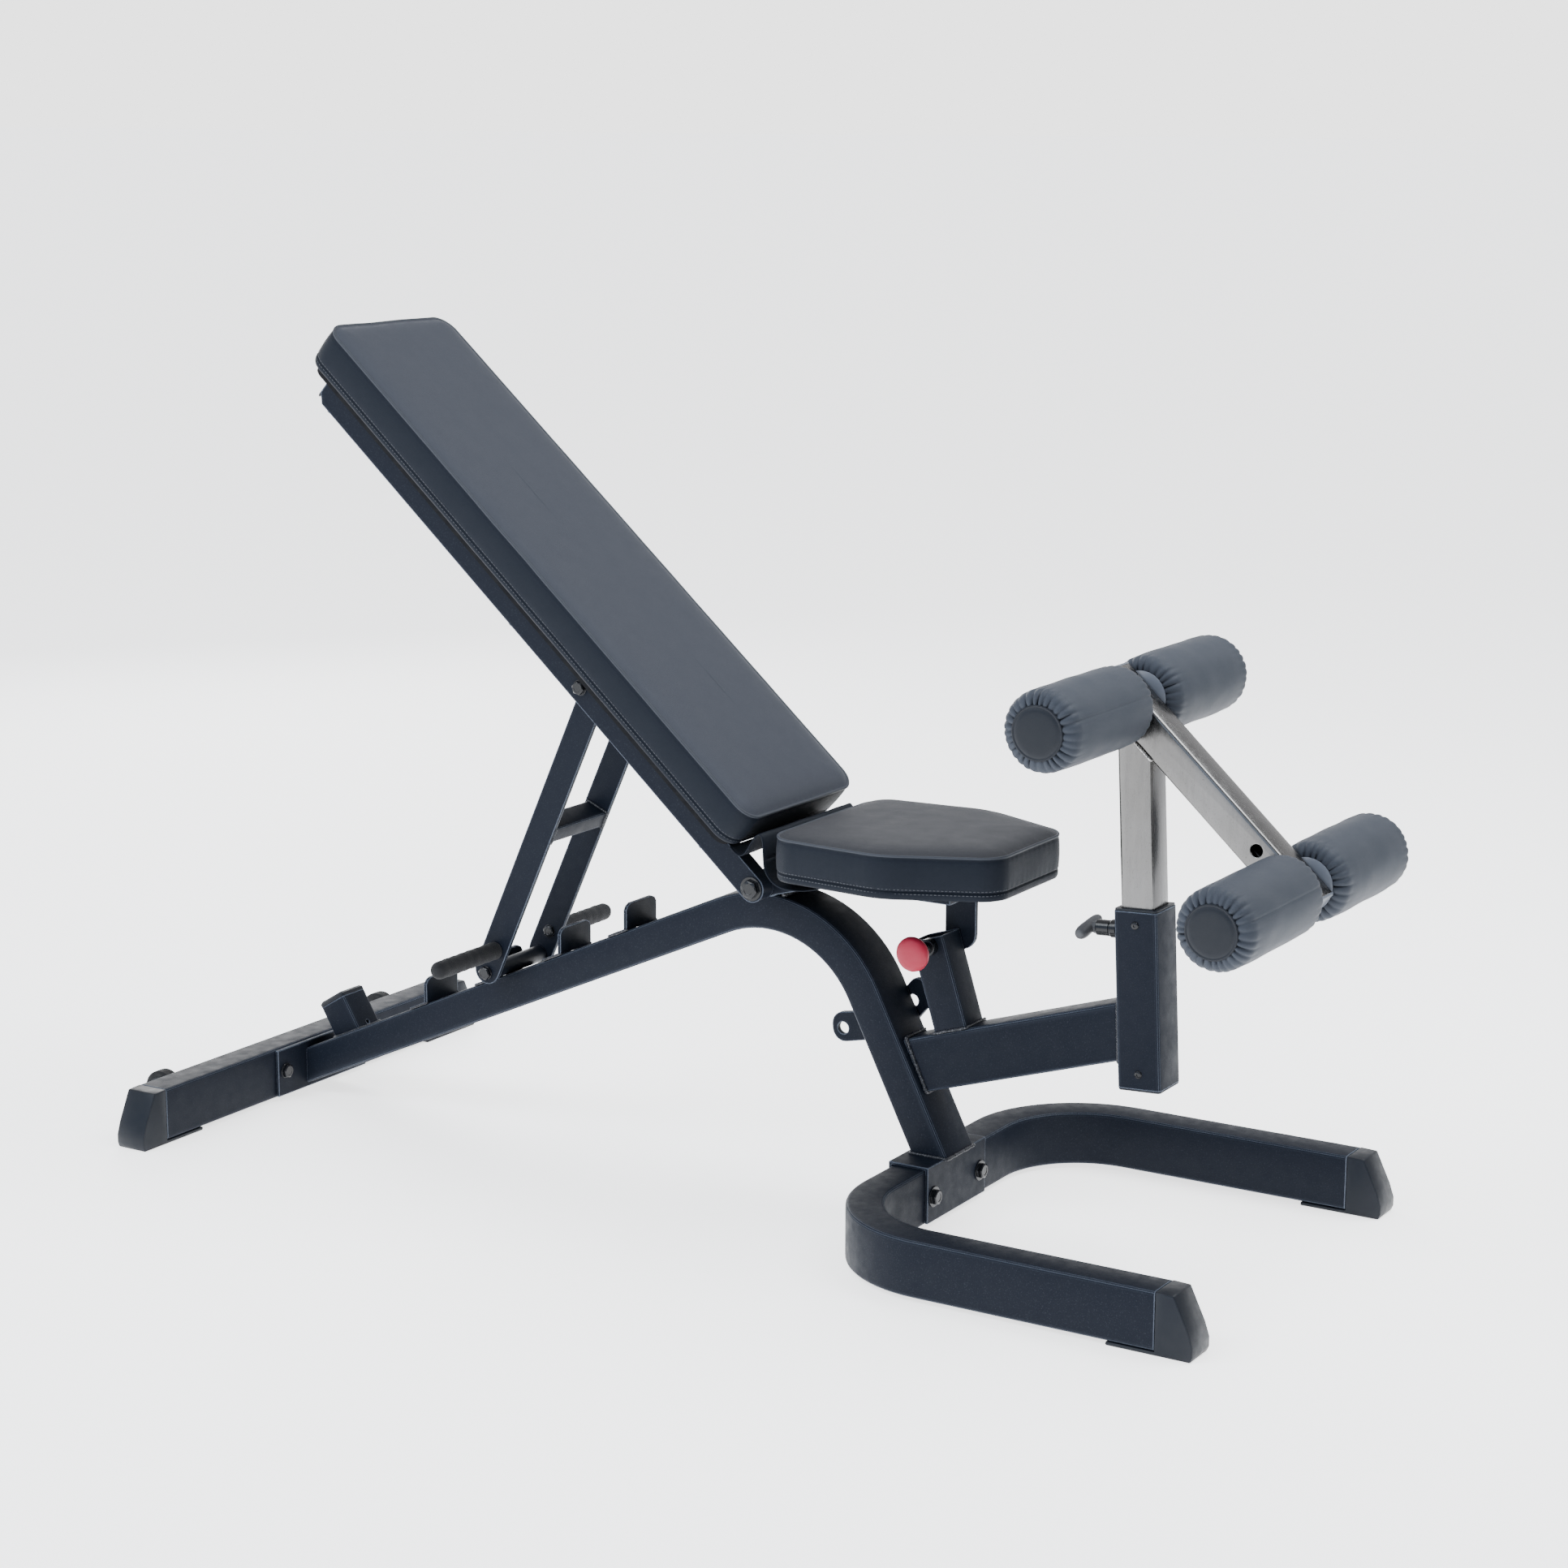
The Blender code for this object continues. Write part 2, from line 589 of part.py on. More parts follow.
def build_rest_post(bench):
    """Short leaning post that the lowered back rests on."""
    axis = Vector((REST_AXIS[0], 0, REST_AXIS[1]))
    normal = Vector((REST_AXIS[1], 0, -REST_AXIS[0]))
    line = normal * REST_OFFSET
    surface = (Vector((0, 0, rail_top(0.0) + GAP)), (-math.sin(RAIL_ANGLE), 0, math.cos(RAIL_ANGLE)))
    post = piece("rest_post", straight_tube(line, line + axis * REST_TOP, POST_HALF, POST_HALF, WALL,
                                            (0, 1, 0), start=surface), PAINT, bench)
    hole = Vector((REST_HOLE[0], 0, REST_HOLE[1]))
    shape(post, "DIFFERENCE", [turned(hole, normal, ((-0.010, 0.0034), (0.012, 0.0034)), 20)])
    plug = POST_HALF - WALL - GAP
    levels = ((REST_TOP - 0.012, plug, 0.002), (REST_TOP + GAP, plug, 0.002), (REST_TOP + GAP, POST_HALF, 0.004),
              (REST_CAP_TOP - 0.003, POST_HALF, 0.004), (REST_CAP_TOP, POST_HALF - 0.003, 0.003))
    rings = []
    for height, half, radius in levels:
        centre = line + axis * height
        rings.append([centre + Vector((0, a, 0)) + normal * b for a, b in rectangle(half, half, radius)])
    piece("rest_post_cap", loft(rings), PLASTIC, bench)


def build_pivot(bench):
    bore = PIVOT_BOLT_R + GAP
    piece("pivot_tube", ring_y(PIVOT, bore, PIVOT_TUBE_R, -PIVOT_TUBE_HALF_Y, PIVOT_TUBE_HALF_Y), PAINT, bench)
    bolt_start = (PIVOT[0], -BACK_RAIL_Y[1], PIVOT[1])
    bolt = through_bolt(bolt_start, (0, 1, 0), 2 * BACK_RAIL_Y[1], PIVOT_BOLT_R, PIVOT_WASHER_R, 0.0110)
    piece("pivot_bolt", bolt, ZINC, bench)


def build_front(bench, leg, foot):
    """Beam from the leg to the sleeve, the seat post on it and the hold-down sleeve."""
    top0 = Vector((BEAM_TOP[0][0], 0, BEAM_TOP[0][1]))
    top1 = Vector((BEAM_TOP[1][0], 0, BEAM_TOP[1][1]))
    along = (top1 - top0).normalized()
    down = Vector((0, 1, 0)).cross(along) * -1.0
    if down.z > 0:
        down = -down
    middle = down * (BEAM_DEPTH / 2)
    leg_normal = Vector((-leg.z, 0, leg.x))
    if leg_normal.x < 0:
        leg_normal = -leg_normal
    leg_face = (foot + leg_normal * (MAIN_HALF_T + GAP), leg_normal)
    sleeve_axis = Vector((SLEEVE_AXIS[0], 0, SLEEVE_AXIS[1]))
    sleeve_top = Vector((SLEEVE_TOP[0], 0, SLEEVE_TOP[1]))
    sleeve_normal = Vector((SLEEVE_AXIS[1], 0, -SLEEVE_AXIS[0]))
    sleeve_face = (sleeve_top - sleeve_normal * (SLEEVE_HALF + GAP), sleeve_normal)
    beam = straight_tube(top0 + middle, top1 + middle, BEAM_HALF_Y, BEAM_DEPTH / 2, WALL,
                         (0, 1, 0), start=leg_face, end=sleeve_face)
    piece("front_beam", beam, PAINT, bench)

    axis = Vector((SEAT_POST_AXIS[0], 0, SEAT_POST_AXIS[1]))
    normal = Vector((SEAT_POST_AXIS[1], 0, -SEAT_POST_AXIS[0]))
    centre = Vector((SEAT_POST_TOP[0], 0, SEAT_POST_TOP[1]))
    base_point = onto_plane(centre, axis, (top0 - down * GAP, down))
    post = piece("seat_post", straight_tube(base_point, centre, POST_HALF, POST_HALF, WALL,
                                            (0, 1, 0), start=(top0 - down * GAP, down)), PAINT, bench)
    pin_hole = rod_y(SEAT_PIN, SEAT_PIN_R + GAP, -0.040, 0.010, 24)
    shape(post, "DIFFERENCE", [pin_hole])

    sleeve_low = sleeve_top - sleeve_axis * SLEEVE_LEN
    sleeve = piece("hold_down_sleeve", straight_tube(sleeve_low, sleeve_top, SLEEVE_HALF, SLEEVE_HALF, WALL),
                   PAINT, bench)
    pin = t_pin_line()
    shape(sleeve, "DIFFERENCE", [turned(pin[0], pin[1], ((0.0, 0.0056), (0.060, 0.0056)), 24)])
    liner_out = SLEEVE_HALF - WALL - GAP
    liner_in = HOLD_HALF + 0.0004
    lip = SLEEVE_HALF - 0.0010
    low = sleeve_low + sleeve_axis * 0.020
    levels = ((low, liner_out), (sleeve_top + sleeve_axis * GAP, liner_out),
              (sleeve_top + sleeve_axis * GAP, lip), (sleeve_top + sleeve_axis * LINER_LIP, lip))
    rings = []
    for point, half in levels:
        rings.append([point + Vector((0, a, 0)) + sleeve_normal * b for a, b in rectangle(half, half, 0.003)])
    for point in (levels[-1][0], levels[0][0]):
        rings.append([point + Vector((0, a, 0)) + sleeve_normal * b
                      for a, b in rectangle(liner_in, liner_in, 0.0025)])
    liner = piece("sleeve_liner", loft(rings, closed=True), PLASTIC, bench)
    shape(liner, "DIFFERENCE", [turned(pin[0], pin[1], ((0.0, 0.0054), (0.060, 0.0054)), 24)])


def t_pin_line():
    """Start and direction of the hold-down pin, square to the sleeve."""
    return Vector((T_PIN_X[0], 0, T_PIN_Z - 0.0022)), Vector((SLEEVE_AXIS[1], 0, -SLEEVE_AXIS[0]))


def build_accessory_plate(bench):
    outline = rounded(ACC_OUTLINE, [0.018, 0.008, 0.006, 0.012, 0.012, 0.006, 0.010, 0.018], 5)
    plate = piece("accessory_plate", prism_y(outline, *ACC_Y), PAINT, bench)
    drills = [rod_y((x, z), radius, ACC_Y[0] - 0.005, ACC_Y[1] + 0.005, 24) for x, z, radius in ACC_HOLES]
    shape(plate, "DIFFERENCE", drills)


def build_wheels(bench):
    """Two small wheels on brackets behind the stabiliser."""
    rear = -TUBE_HALF_W - GAP
    for name, side in SIDES:
        outline = [(rear, 0.018), (rear, 0.066), (WHEEL_X - 0.006, WHEEL_Z + 0.012),
                   (WHEEL_X - 0.012, WHEEL_Z), (WHEEL_X - 0.006, WHEEL_Z - 0.012)]
        faces = sorted((side * BRACKET_Y[0], side * BRACKET_Y[1]))
        bracket = piece("wheel_bracket_" + name, prism_y(outline, *faces), PAINT, bench)
        inner = side * (BRACKET_Y[1] - 0.002)
        profile = ((0.0, WHEEL_PIN_R), (WHEEL_Y[1] - BRACKET_Y[1] + 0.0025, WHEEL_PIN_R),
                   (WHEEL_Y[1] - BRACKET_Y[1] + 0.0025, 0.0085), (WHEEL_Y[1] - BRACKET_Y[1] + 0.006, 0.0085))
        pin = turned((WHEEL_X, inner, WHEEL_Z), (0, side, 0), profile, 24)
        shape(bracket, "UNION", [pin])
        hub = axis_empty("wheel_axis_" + name, (WHEEL_X, WHEEL_Z), bench, side * WHEEL_Y[0])
        bore = WHEEL_PIN_R + GAP
        wheel_profile = ((WHEEL_Y[0], bore), (WHEEL_Y[0], WHEEL_R - 0.003), (WHEEL_Y[0] + 0.003, WHEEL_R),
                         (WHEEL_Y[1] - 0.003, WHEEL_R), (WHEEL_Y[1], WHEEL_R - 0.003), (WHEEL_Y[1], bore))
        wheel = turned((WHEEL_X, 0, WHEEL_Z), (0, side, 0), wheel_profile, ROUND_SEGS, closed=True)
        piece("transport_wheel_" + name, wheel, RUBBER, hub)


def build_back(pivot):
    """Rails, straps, board and cushion of the back, all turning about the pivot bolt."""
    mid_n = sum(BACK_RAIL_N) / 2
    half_n = (BACK_RAIL_N[1] - BACK_RAIL_N[0]) / 2
    outline = [pad_xz(BACK_RAIL_TOP_S + 0.012, BACK_RAIL_N[0]), pad_xz(BACK_RAIL_TOP_S, BACK_RAIL_N[0] + 0.012),
               pad_xz(BACK_RAIL_TOP_S, BACK_RAIL_N[1])]
    for step in range(13):
        angle = math.pi / 2 - math.pi * step / 12
        outline.append(pad_xz(PIVOT_SN[0] + half_n * math.cos(angle), mid_n + half_n * math.sin(angle)))
    hollow_s = (BACK_RAIL_TOP_S - 0.010, PIVOT_SN[0] - 0.022)
    hollow_n = (BACK_RAIL_N[0] + WALL, BACK_RAIL_N[1] - WALL)
    hollow = [pad_xz(hollow_s[0], hollow_n[0]), pad_xz(hollow_s[0], hollow_n[1]),
              pad_xz(hollow_s[1], hollow_n[1]), pad_xz(hollow_s[1], hollow_n[0])]
    for name, side in SIDES:
        faces = sorted((side * BACK_RAIL_Y[0], side * BACK_RAIL_Y[1]))
        rail = piece("back_rail_" + name, prism_y(outline, *faces), PAINT, pivot)
        tools = [prism_y(hollow, faces[0] + WALL, faces[1] - WALL),
                 rod_y(PIVOT, PIVOT_BOLT_R + GAP, faces[0] - 0.01, faces[1] + 0.01, 24),
                 rod_y(ARM_PIVOT, ARM_PIN_R + GAP, faces[0] - 0.01, faces[1] + 0.01, 20)]
        shape(rail, "DIFFERENCE", tools)
        head_y = side * (BACK_RAIL_Y[1])
        pin_grip = BACK_RAIL_Y[1] - ARM_Y[0]
        bolt = through_bolt((ARM_PIVOT[0], head_y, ARM_PIVOT[1]), (0, -side, 0), pin_grip,
                            ARM_PIN_R, ARM_WASHER_R, 0.0080)
        piece("arm_pivot_bolt_" + name, bolt, ZINC, pivot)
    for number, s in enumerate(STRAP_S, 1):
        corners = [pad_xz(s - STRAP_HALF_S, STRAP_N[0]), pad_xz(s + STRAP_HALF_S, STRAP_N[0]),
                   pad_xz(s + STRAP_HALF_S, STRAP_N[1]), pad_xz(s - STRAP_HALF_S, STRAP_N[1])]
        strap = piece("back_strap_%d" % number, prism_y(corners, -STRAP_HALF_Y, STRAP_HALF_Y), PAINT, pivot)
        broken_edges(strap, 0.0006)

    corners = ((PAD_S[0], -PAD_HALF_W[0]), (PAD_S[1], -PAD_HALF_W[1]), (PAD_S[1], PAD_HALF_W[1]),
               (PAD_S[0], PAD_HALF_W[0]))
    levels = ((BOARD_N[0], BOARD_INSET), (BOARD_N[1], BOARD_INSET))
    piece("back_board", pad_block(corners, PAD_CORNER, levels), WOOD, pivot)
    levels = ((PAD_BOTTOM_N, 0.0050), (PAD_BOTTOM_N + 0.005, 0.0005), (-0.020, 0.0), (-0.004, 0.0005),
              (0.0, 0.0030), (PAD_CROWN * 0.7, 0.0120), (PAD_CROWN, 0.0300))
    piece("back_cushion", pad_block(corners, PAD_CORNER, levels), VINYL, pivot)


def pad_block(corners, radius, levels):
    """A block in the back pad's own plane, from (n, inset) levels."""
    rings = []
    for n, step in levels:
        plan = rounded(inset(corners, step), max(radius - step, 0.004), 6)
        ring = []
        for s, y in plan:
            x, z = pad_xz(s, n)
            ring.append((x, y, z))
        rings.append(ring)
    return loft(rings)


def build_arms(pivot):
    """Flat support arms with their brace, grips and the axle that rests on the rail."""
    direction = Vector((ARM_DIR[0], ARM_DIR[1]))
    mean = sum(ARM_LINES) / 2
    half = (ARM_LINES[1] - ARM_LINES[0]) / 2
    normal = Vector((-ARM_DIR[1], ARM_DIR[0]))
    foot_t = Vector(ARM_AXLE).dot(direction)
    head_t = Vector(ARM_PIVOT).dot(direction)
    ends = [tuple(normal * mean + direction * t) for t in (head_t, foot_t - 0.004)]
    outline = round_bar(ends, half - 0.0004)
    for name, side in SIDES:
        faces = sorted((side * ARM_Y[0], side * ARM_Y[1]))
        arm = piece("support_arm_" + name, prism_y(outline, *faces), PAINT, pivot)
        drills = [rod_y(xz, ARM_PIN_R + GAP, faces[0] - 0.005, faces[1] + 0.005, 20)
                  for xz in (ARM_PIVOT, ARM_AXLE, GRIP_AXIS)]
        shape(arm, "DIFFERENCE", drills)
        grip_profile = ((0.0, 0.0072), (0.004, 0.0072), (0.004, ARM_PIN_R), (ARM_Y[1] - ARM_Y[0] + 0.0052, ARM_PIN_R),
                        (ARM_Y[1] - ARM_Y[0] + 0.0052, GRIP_R), (GRIP_Y[1] - ARM_Y[0] - 0.002, GRIP_R),
                        (GRIP_Y[1] - ARM_Y[0] + 0.002, GRIP_R * 0.86), (GRIP_Y[1] - ARM_Y[0] + 0.0045, GRIP_R * 0.5))
        start = (GRIP_AXIS[0], side * (ARM_Y[0] - 0.0045), GRIP_AXIS[1])
        piece("arm_grip_" + name, turned(start, (0, side, 0), grip_profile), FOAM, pivot)
    brace_dir = direction * BRACE_HALF[0]
    brace_side = normal * BRACE_HALF[1]
    centre = Vector(BRACE_CENTRE)
    brace = [tuple(centre + brace_dir * a + brace_side * b) for a, b in ((-1, -1), (1, -1), (1, 1), (-1, 1))]
    brace_half_y = ARM_Y[0] - GAP
    bar = piece("arm_brace", prism_y(rounded(brace, 0.004, 3), -brace_half_y, brace_half_y), PAINT, pivot)
    shape(bar, "DIFFERENCE", [prism_y(inset(brace, WALL), -brace_half_y - 0.01, brace_half_y + 0.01)])
    axle_start = (ARM_AXLE[0], -ARM_Y[1], ARM_AXLE[1])
    axle = through_bolt(axle_start, (0, 1, 0), 2 * ARM_Y[1], ARM_PIN_R, 0.0095, 0.0080)
    piece("arm_axle", axle, ZINC, pivot)
    roller = axis_empty("support_roller_axis", ARM_AXLE, pivot)
    bush = ring_y(ARM_AXLE, ARM_PIN_R + GAP, SUPPORT_R, -SUPPORT_HALF_Y, SUPPORT_HALF_Y)
    piece("support_roller", bush, PLASTIC, roller)


def build_seat(pivot):
    """Seat plate with its hinge ears and sector, the board and the cushion."""
    half_y = SEAT_EAR_Y[1]
    frame = piece("seat_frame", block((SEAT_PLATE_X[0], -half_y, SEAT_PLATE_Z[0]),
                                      (SEAT_PLATE_X[1], half_y, SEAT_PLATE_Z[1])), PAINT, pivot)
    ear = [(SEAT_PLATE_X[0] + 0.060, SEAT_PLATE_Z[0] + 0.003), (SEAT_PLATE_X[0], SEAT_PLATE_Z[0] + 0.003)]
    for step in range(11):
        angle = math.radians(115 + 19 * step)
        ear.append((PIVOT[0] + 0.0190 * math.cos(angle), PIVOT[1] + 0.0190 * math.sin(angle)))
    low_r = (SECTOR_X[1] - SECTOR_X[0]) / 2
    sector = [(SECTOR_X[0], SEAT_PLATE_Z[0] + 0.003), (SECTOR_X[0], SECTOR_LOW_Z + low_r)]
    for step in range(1, 12):
        angle = math.pi + math.pi * step / 12
        sector.append((sum(SECTOR_X) / 2 + low_r * math.cos(angle),
                       SECTOR_LOW_Z + low_r + low_r * math.sin(angle)))
    sector.extend([(SECTOR_X[1], SECTOR_LOW_Z + low_r), (SECTOR_X[1], SEAT_PLATE_Z[0] + 0.003)])
    joined = [prism_y(sector, *SECTOR_Y)]
    for _, side in SIDES:
        faces = sorted((side * SEAT_EAR_Y[0], side * (SEAT_EAR_Y[1] - 0.0001)))
        joined.append(prism_y(ear, *faces))
    shape(frame, "UNION", joined)
    shape(frame, "DIFFERENCE", [rod_y(PIVOT, PIVOT_BOLT_R + GAP, -0.070, 0.070, 24)])

    corners = [(x, half) for x, half in SEAT_OUTLINE] + [(x, -half) for x, half in reversed(SEAT_OUTLINE)]
    radii = (SEAT_CORNER, 0.060, SEAT_CORNER * 1.6, SEAT_CORNER * 1.6, 0.060, SEAT_CORNER)

    def plan(step):
        return rounded(inset(corners, step), [max(radius - step, 0.004) for radius in radii], 6)

    board = prism_z([plan(SEAT_BOARD_INSET), plan(SEAT_BOARD_INSET)], SEAT_BOARD_Z)
    piece("seat_board", board, WOOD, pivot)
    levels = ((SEAT_BOTTOM_Z, 0.0050), (SEAT_BOTTOM_Z + 0.005, 0.0005), (SEAT_TOP_Z - 0.020, 0.0),
              (SEAT_TOP_Z - 0.004, 0.0005), (SEAT_TOP_Z, 0.0030), (SEAT_TOP_Z + SEAT_CROWN * 0.7, 0.0120),
              (SEAT_TOP_Z + SEAT_CROWN, 0.0280))
    pad = prism_z([plan(step) for _, step in levels], [height for height, _ in levels])
    piece("seat_cushion", pad, VINYL, pivot)


def build_seat_pin(slide):
    """Sprung pin with a mushroom knob that locks the seat's sector to its post."""
    profile = ((SEAT_KNOB_Y[0], 0.0120), (SEAT_KNOB_Y[0] + 0.002, 0.0190), (SEAT_KNOB_Y[0] + 0.007, SEAT_KNOB_R),
               (SEAT_KNOB_Y[0] + 0.013, SEAT_KNOB_R), (SEAT_KNOB_Y[0] + 0.018, 0.0180),
               (SEAT_KNOB_Y[1], 0.0110), (SEAT_KNOB_Y[1] + 0.004, 0.0110), (SEAT_KNOB_Y[1] + 0.004, 0.0085),
               (-POST_HALF - GAP - 0.012, 0.0085), (-POST_HALF - GAP - 0.012, 0.0110),
               (-POST_HALF - GAP, 0.0110), (-POST_HALF - GAP, SEAT_PIN_R), (-0.004, SEAT_PIN_R), (-0.002, 0.0035))
    pin = turned((SEAT_PIN[0], 0, SEAT_PIN[1]), (0, 1, 0), profile)
    piece("seat_pin", pin, RED, slide)


def build_hold_down(slide):
    """Chrome post and inclined cross tube that carry the two pairs of foot rollers."""
    axis = Vector((SLEEVE_AXIS[0], 0, SLEEVE_AXIS[1]))
    top = Vector((SLEEVE_TOP[0], 0, SLEEVE_TOP[1]))
    upper = Vector((ROLLER_UPPER[0], 0, ROLLER_UPPER[1]))
    lower = Vector((ROLLER_LOWER[0], 0, ROLLER_LOWER[1]))
    along = (lower - upper).normalized()
    down = Vector((0, 1, 0)).cross(along)
    if down.z > 0:
        down = -down
    under = (upper + down * (HOLD_HALF + GAP), down)
    post = straight_tube(top - axis * HOLD_INSERT, top + axis * 0.1, HOLD_HALF, HOLD_HALF, 0.0020, end=under)
    piece("hold_down_post", post, CHROME, slide)
    tube = piece("hold_down_diagonal", straight_tube(
        upper - along * ROLLER_OVERHANG[0], lower + along * ROLLER_OVERHANG[1],
        HOLD_HALF, HOLD_HALF, 0.0020), CHROME, slide)
    tools = [rod_y(xz, ROLLER_AXLE_R + GAP, -0.04, 0.04, 24) for xz in (ROLLER_UPPER, ROLLER_LOWER)]
    tools.append(rod_y(SPARE_HOLE, 0.0088, -0.04, 0.04, 24))
    shape(tube, "DIFFERENCE", tools)
    for level, xz in (("upper", ROLLER_UPPER), ("lower", ROLLER_LOWER)):
        axle_end = ROLLER_Y[1] - 0.011
        piece("roller_axle_" + level, rod_y(xz, ROLLER_AXLE_R, -axle_end, axle_end), CHROME, slide)
        for name, side in SIDES:
            hub = axis_empty("roller_axis_%s_%s" % (level, name), xz, slide, side * ROLLER_Y[0])
            bore = ROLLER_AXLE_R + GAP
            depth = ROLLER_Y[1] - 0.010
            outer = ((ROLLER_Y[0], ROLLER_END_R), (ROLLER_Y[0] + 0.003, ROLLER_R - 0.006),
                     (ROLLER_Y[0] + 0.009, ROLLER_R), (ROLLER_Y[1] - 0.009, ROLLER_R),
                     (ROLLER_Y[1] - 0.003, ROLLER_R - 0.006), (ROLLER_Y[1], ROLLER_END_R))
            profile = ((depth, bore), (ROLLER_Y[0], bore)) + outer
            roller = turned((xz[0], 0, xz[1]), (0, side, 0), profile)
            piece("foot_roller_%s_%s" % (level, name), roller, VINYL, hub)


def build_hold_down_pin(slide):
    """T-handled pin behind the sleeve."""
    start, along = t_pin_line()
    reach = T_PIN_X[1] - T_PIN_X[0]
    profile = ((0.0, 0.0050), (0.010, 0.0050), (0.010, 0.0080), (reach - 0.0045, 0.0080), (reach - 0.0045, 0.0050),
               (reach + 0.0005, 0.0050))
    pin = piece("hold_down_pin", turned(start, along, profile), PLASTIC, slide)
    bar = turned((start.x, 0, start.z), (0, 1, 0),
                 ((-T_BAR_HALF_Y, T_BAR_R - 0.002), (-T_BAR_HALF_Y + 0.003, T_BAR_R), (T_BAR_HALF_Y - 0.003, T_BAR_R),
                  (T_BAR_HALF_Y, T_BAR_R - 0.002)), 24)
    shape(pin, "UNION", [bar])


def build_flap(bench):
    """Vinyl flap that covers the gap between the back and the seat."""
    middle = ((0.8640, 0.4850), (0.8730, 0.4840), (0.8820, 0.4960), (0.8930, 0.5060), (0.8995, 0.5000),
              (0.9020, 0.4850), (0.9045, 0.4700))
    half_t = 0.0010
    upper = []
    lower = []
    for index, point in enumerate(middle):
        before = Vector(middle[max(index - 1, 0)])
        after = Vector(middle[min(index + 1, len(middle) - 1)])
        along = (after - before).normalized()
        out = Vector((-along.y, along.x)) * half_t
        upper.append(tuple(Vector(point) + out))
        lower.append(tuple(Vector(point) - out))
    piece("back_flap", prism_y(upper + list(reversed(lower)), -0.118, 0.118), VINYL, bench)


def main():
    clear_scene()
    bench = bpy.data.objects.new("bench", None)
    bpy.context.collection.objects.link(bench)
    bench.location = (X_SHIFT, 0.0, Z_SHIFT)
    build_stabilizer(bench)
    build_base(bench)
    leg, foot = build_main_tube(bench)
    build_ladder(bench)
    build_rest_post(bench)
    build_pivot(bench)
    build_front(bench, leg, foot)
    build_accessory_plate(bench)
    build_wheels(bench)
    build_flap(bench)
    back = axis_empty("back_axis", PIVOT, bench)
    build_back(back)
    build_arms(axis_empty("arm_axis", ARM_PIVOT, back))
    build_seat(axis_empty("seat_axis", PIVOT, bench))
    build_seat_pin(axis_empty("seat_pin_axis", SEAT_PIN, bench, -POST_HALF))
    hold_down = axis_empty("hold_down_axis", SLEEVE_TOP, bench)
    build_hold_down(hold_down)
    build_hold_down_pin(axis_empty("hold_down_pin_axis", (T_PIN_X[0], T_PIN_Z), bench))


main()
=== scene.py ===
"""Looks of the sit-up bench: materials, padded pieces, stitching, welds, fasteners, light and camera.

Shapes are drawn in the bench frame: X along the bench, Y across, Z up from the underside of the base tubes.
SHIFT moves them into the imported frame. Lengths are in metres. Profiles are lists of (along, radius).
"""
import json
import math
import random

import bmesh
import bpy
from mathutils import Matrix, Vector, noise


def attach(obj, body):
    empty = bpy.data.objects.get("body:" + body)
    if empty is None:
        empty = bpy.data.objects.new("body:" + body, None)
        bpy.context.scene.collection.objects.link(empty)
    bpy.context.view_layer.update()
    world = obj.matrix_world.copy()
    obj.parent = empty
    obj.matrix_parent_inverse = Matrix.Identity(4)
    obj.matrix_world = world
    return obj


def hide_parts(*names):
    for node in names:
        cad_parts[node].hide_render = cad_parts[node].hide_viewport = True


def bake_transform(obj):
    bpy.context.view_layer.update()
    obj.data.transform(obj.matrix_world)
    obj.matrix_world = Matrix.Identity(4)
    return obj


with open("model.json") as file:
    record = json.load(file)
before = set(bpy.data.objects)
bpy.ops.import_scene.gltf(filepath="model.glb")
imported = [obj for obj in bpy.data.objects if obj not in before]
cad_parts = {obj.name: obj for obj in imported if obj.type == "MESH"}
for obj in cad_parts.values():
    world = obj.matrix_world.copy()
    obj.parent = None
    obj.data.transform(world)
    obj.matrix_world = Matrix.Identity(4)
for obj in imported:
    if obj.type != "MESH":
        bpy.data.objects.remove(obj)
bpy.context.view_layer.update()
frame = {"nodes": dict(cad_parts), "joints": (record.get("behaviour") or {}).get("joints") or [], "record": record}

joints = {joint["name"]: joint for joint in frame["joints"]}
PIVOT = Vector((0.8664, 0.0, 0.4323))
SHIFT = Vector(joints["back_recline"]["pos_m"]) - PIVOT
SIDES = (("right", -1.0), ("left", 1.0))


def mirrored(point, side):
    """A point or direction of the bench's left side, carried over to either side."""
    return (point[0], side * point[1], point[2])


# ------------------------ materials

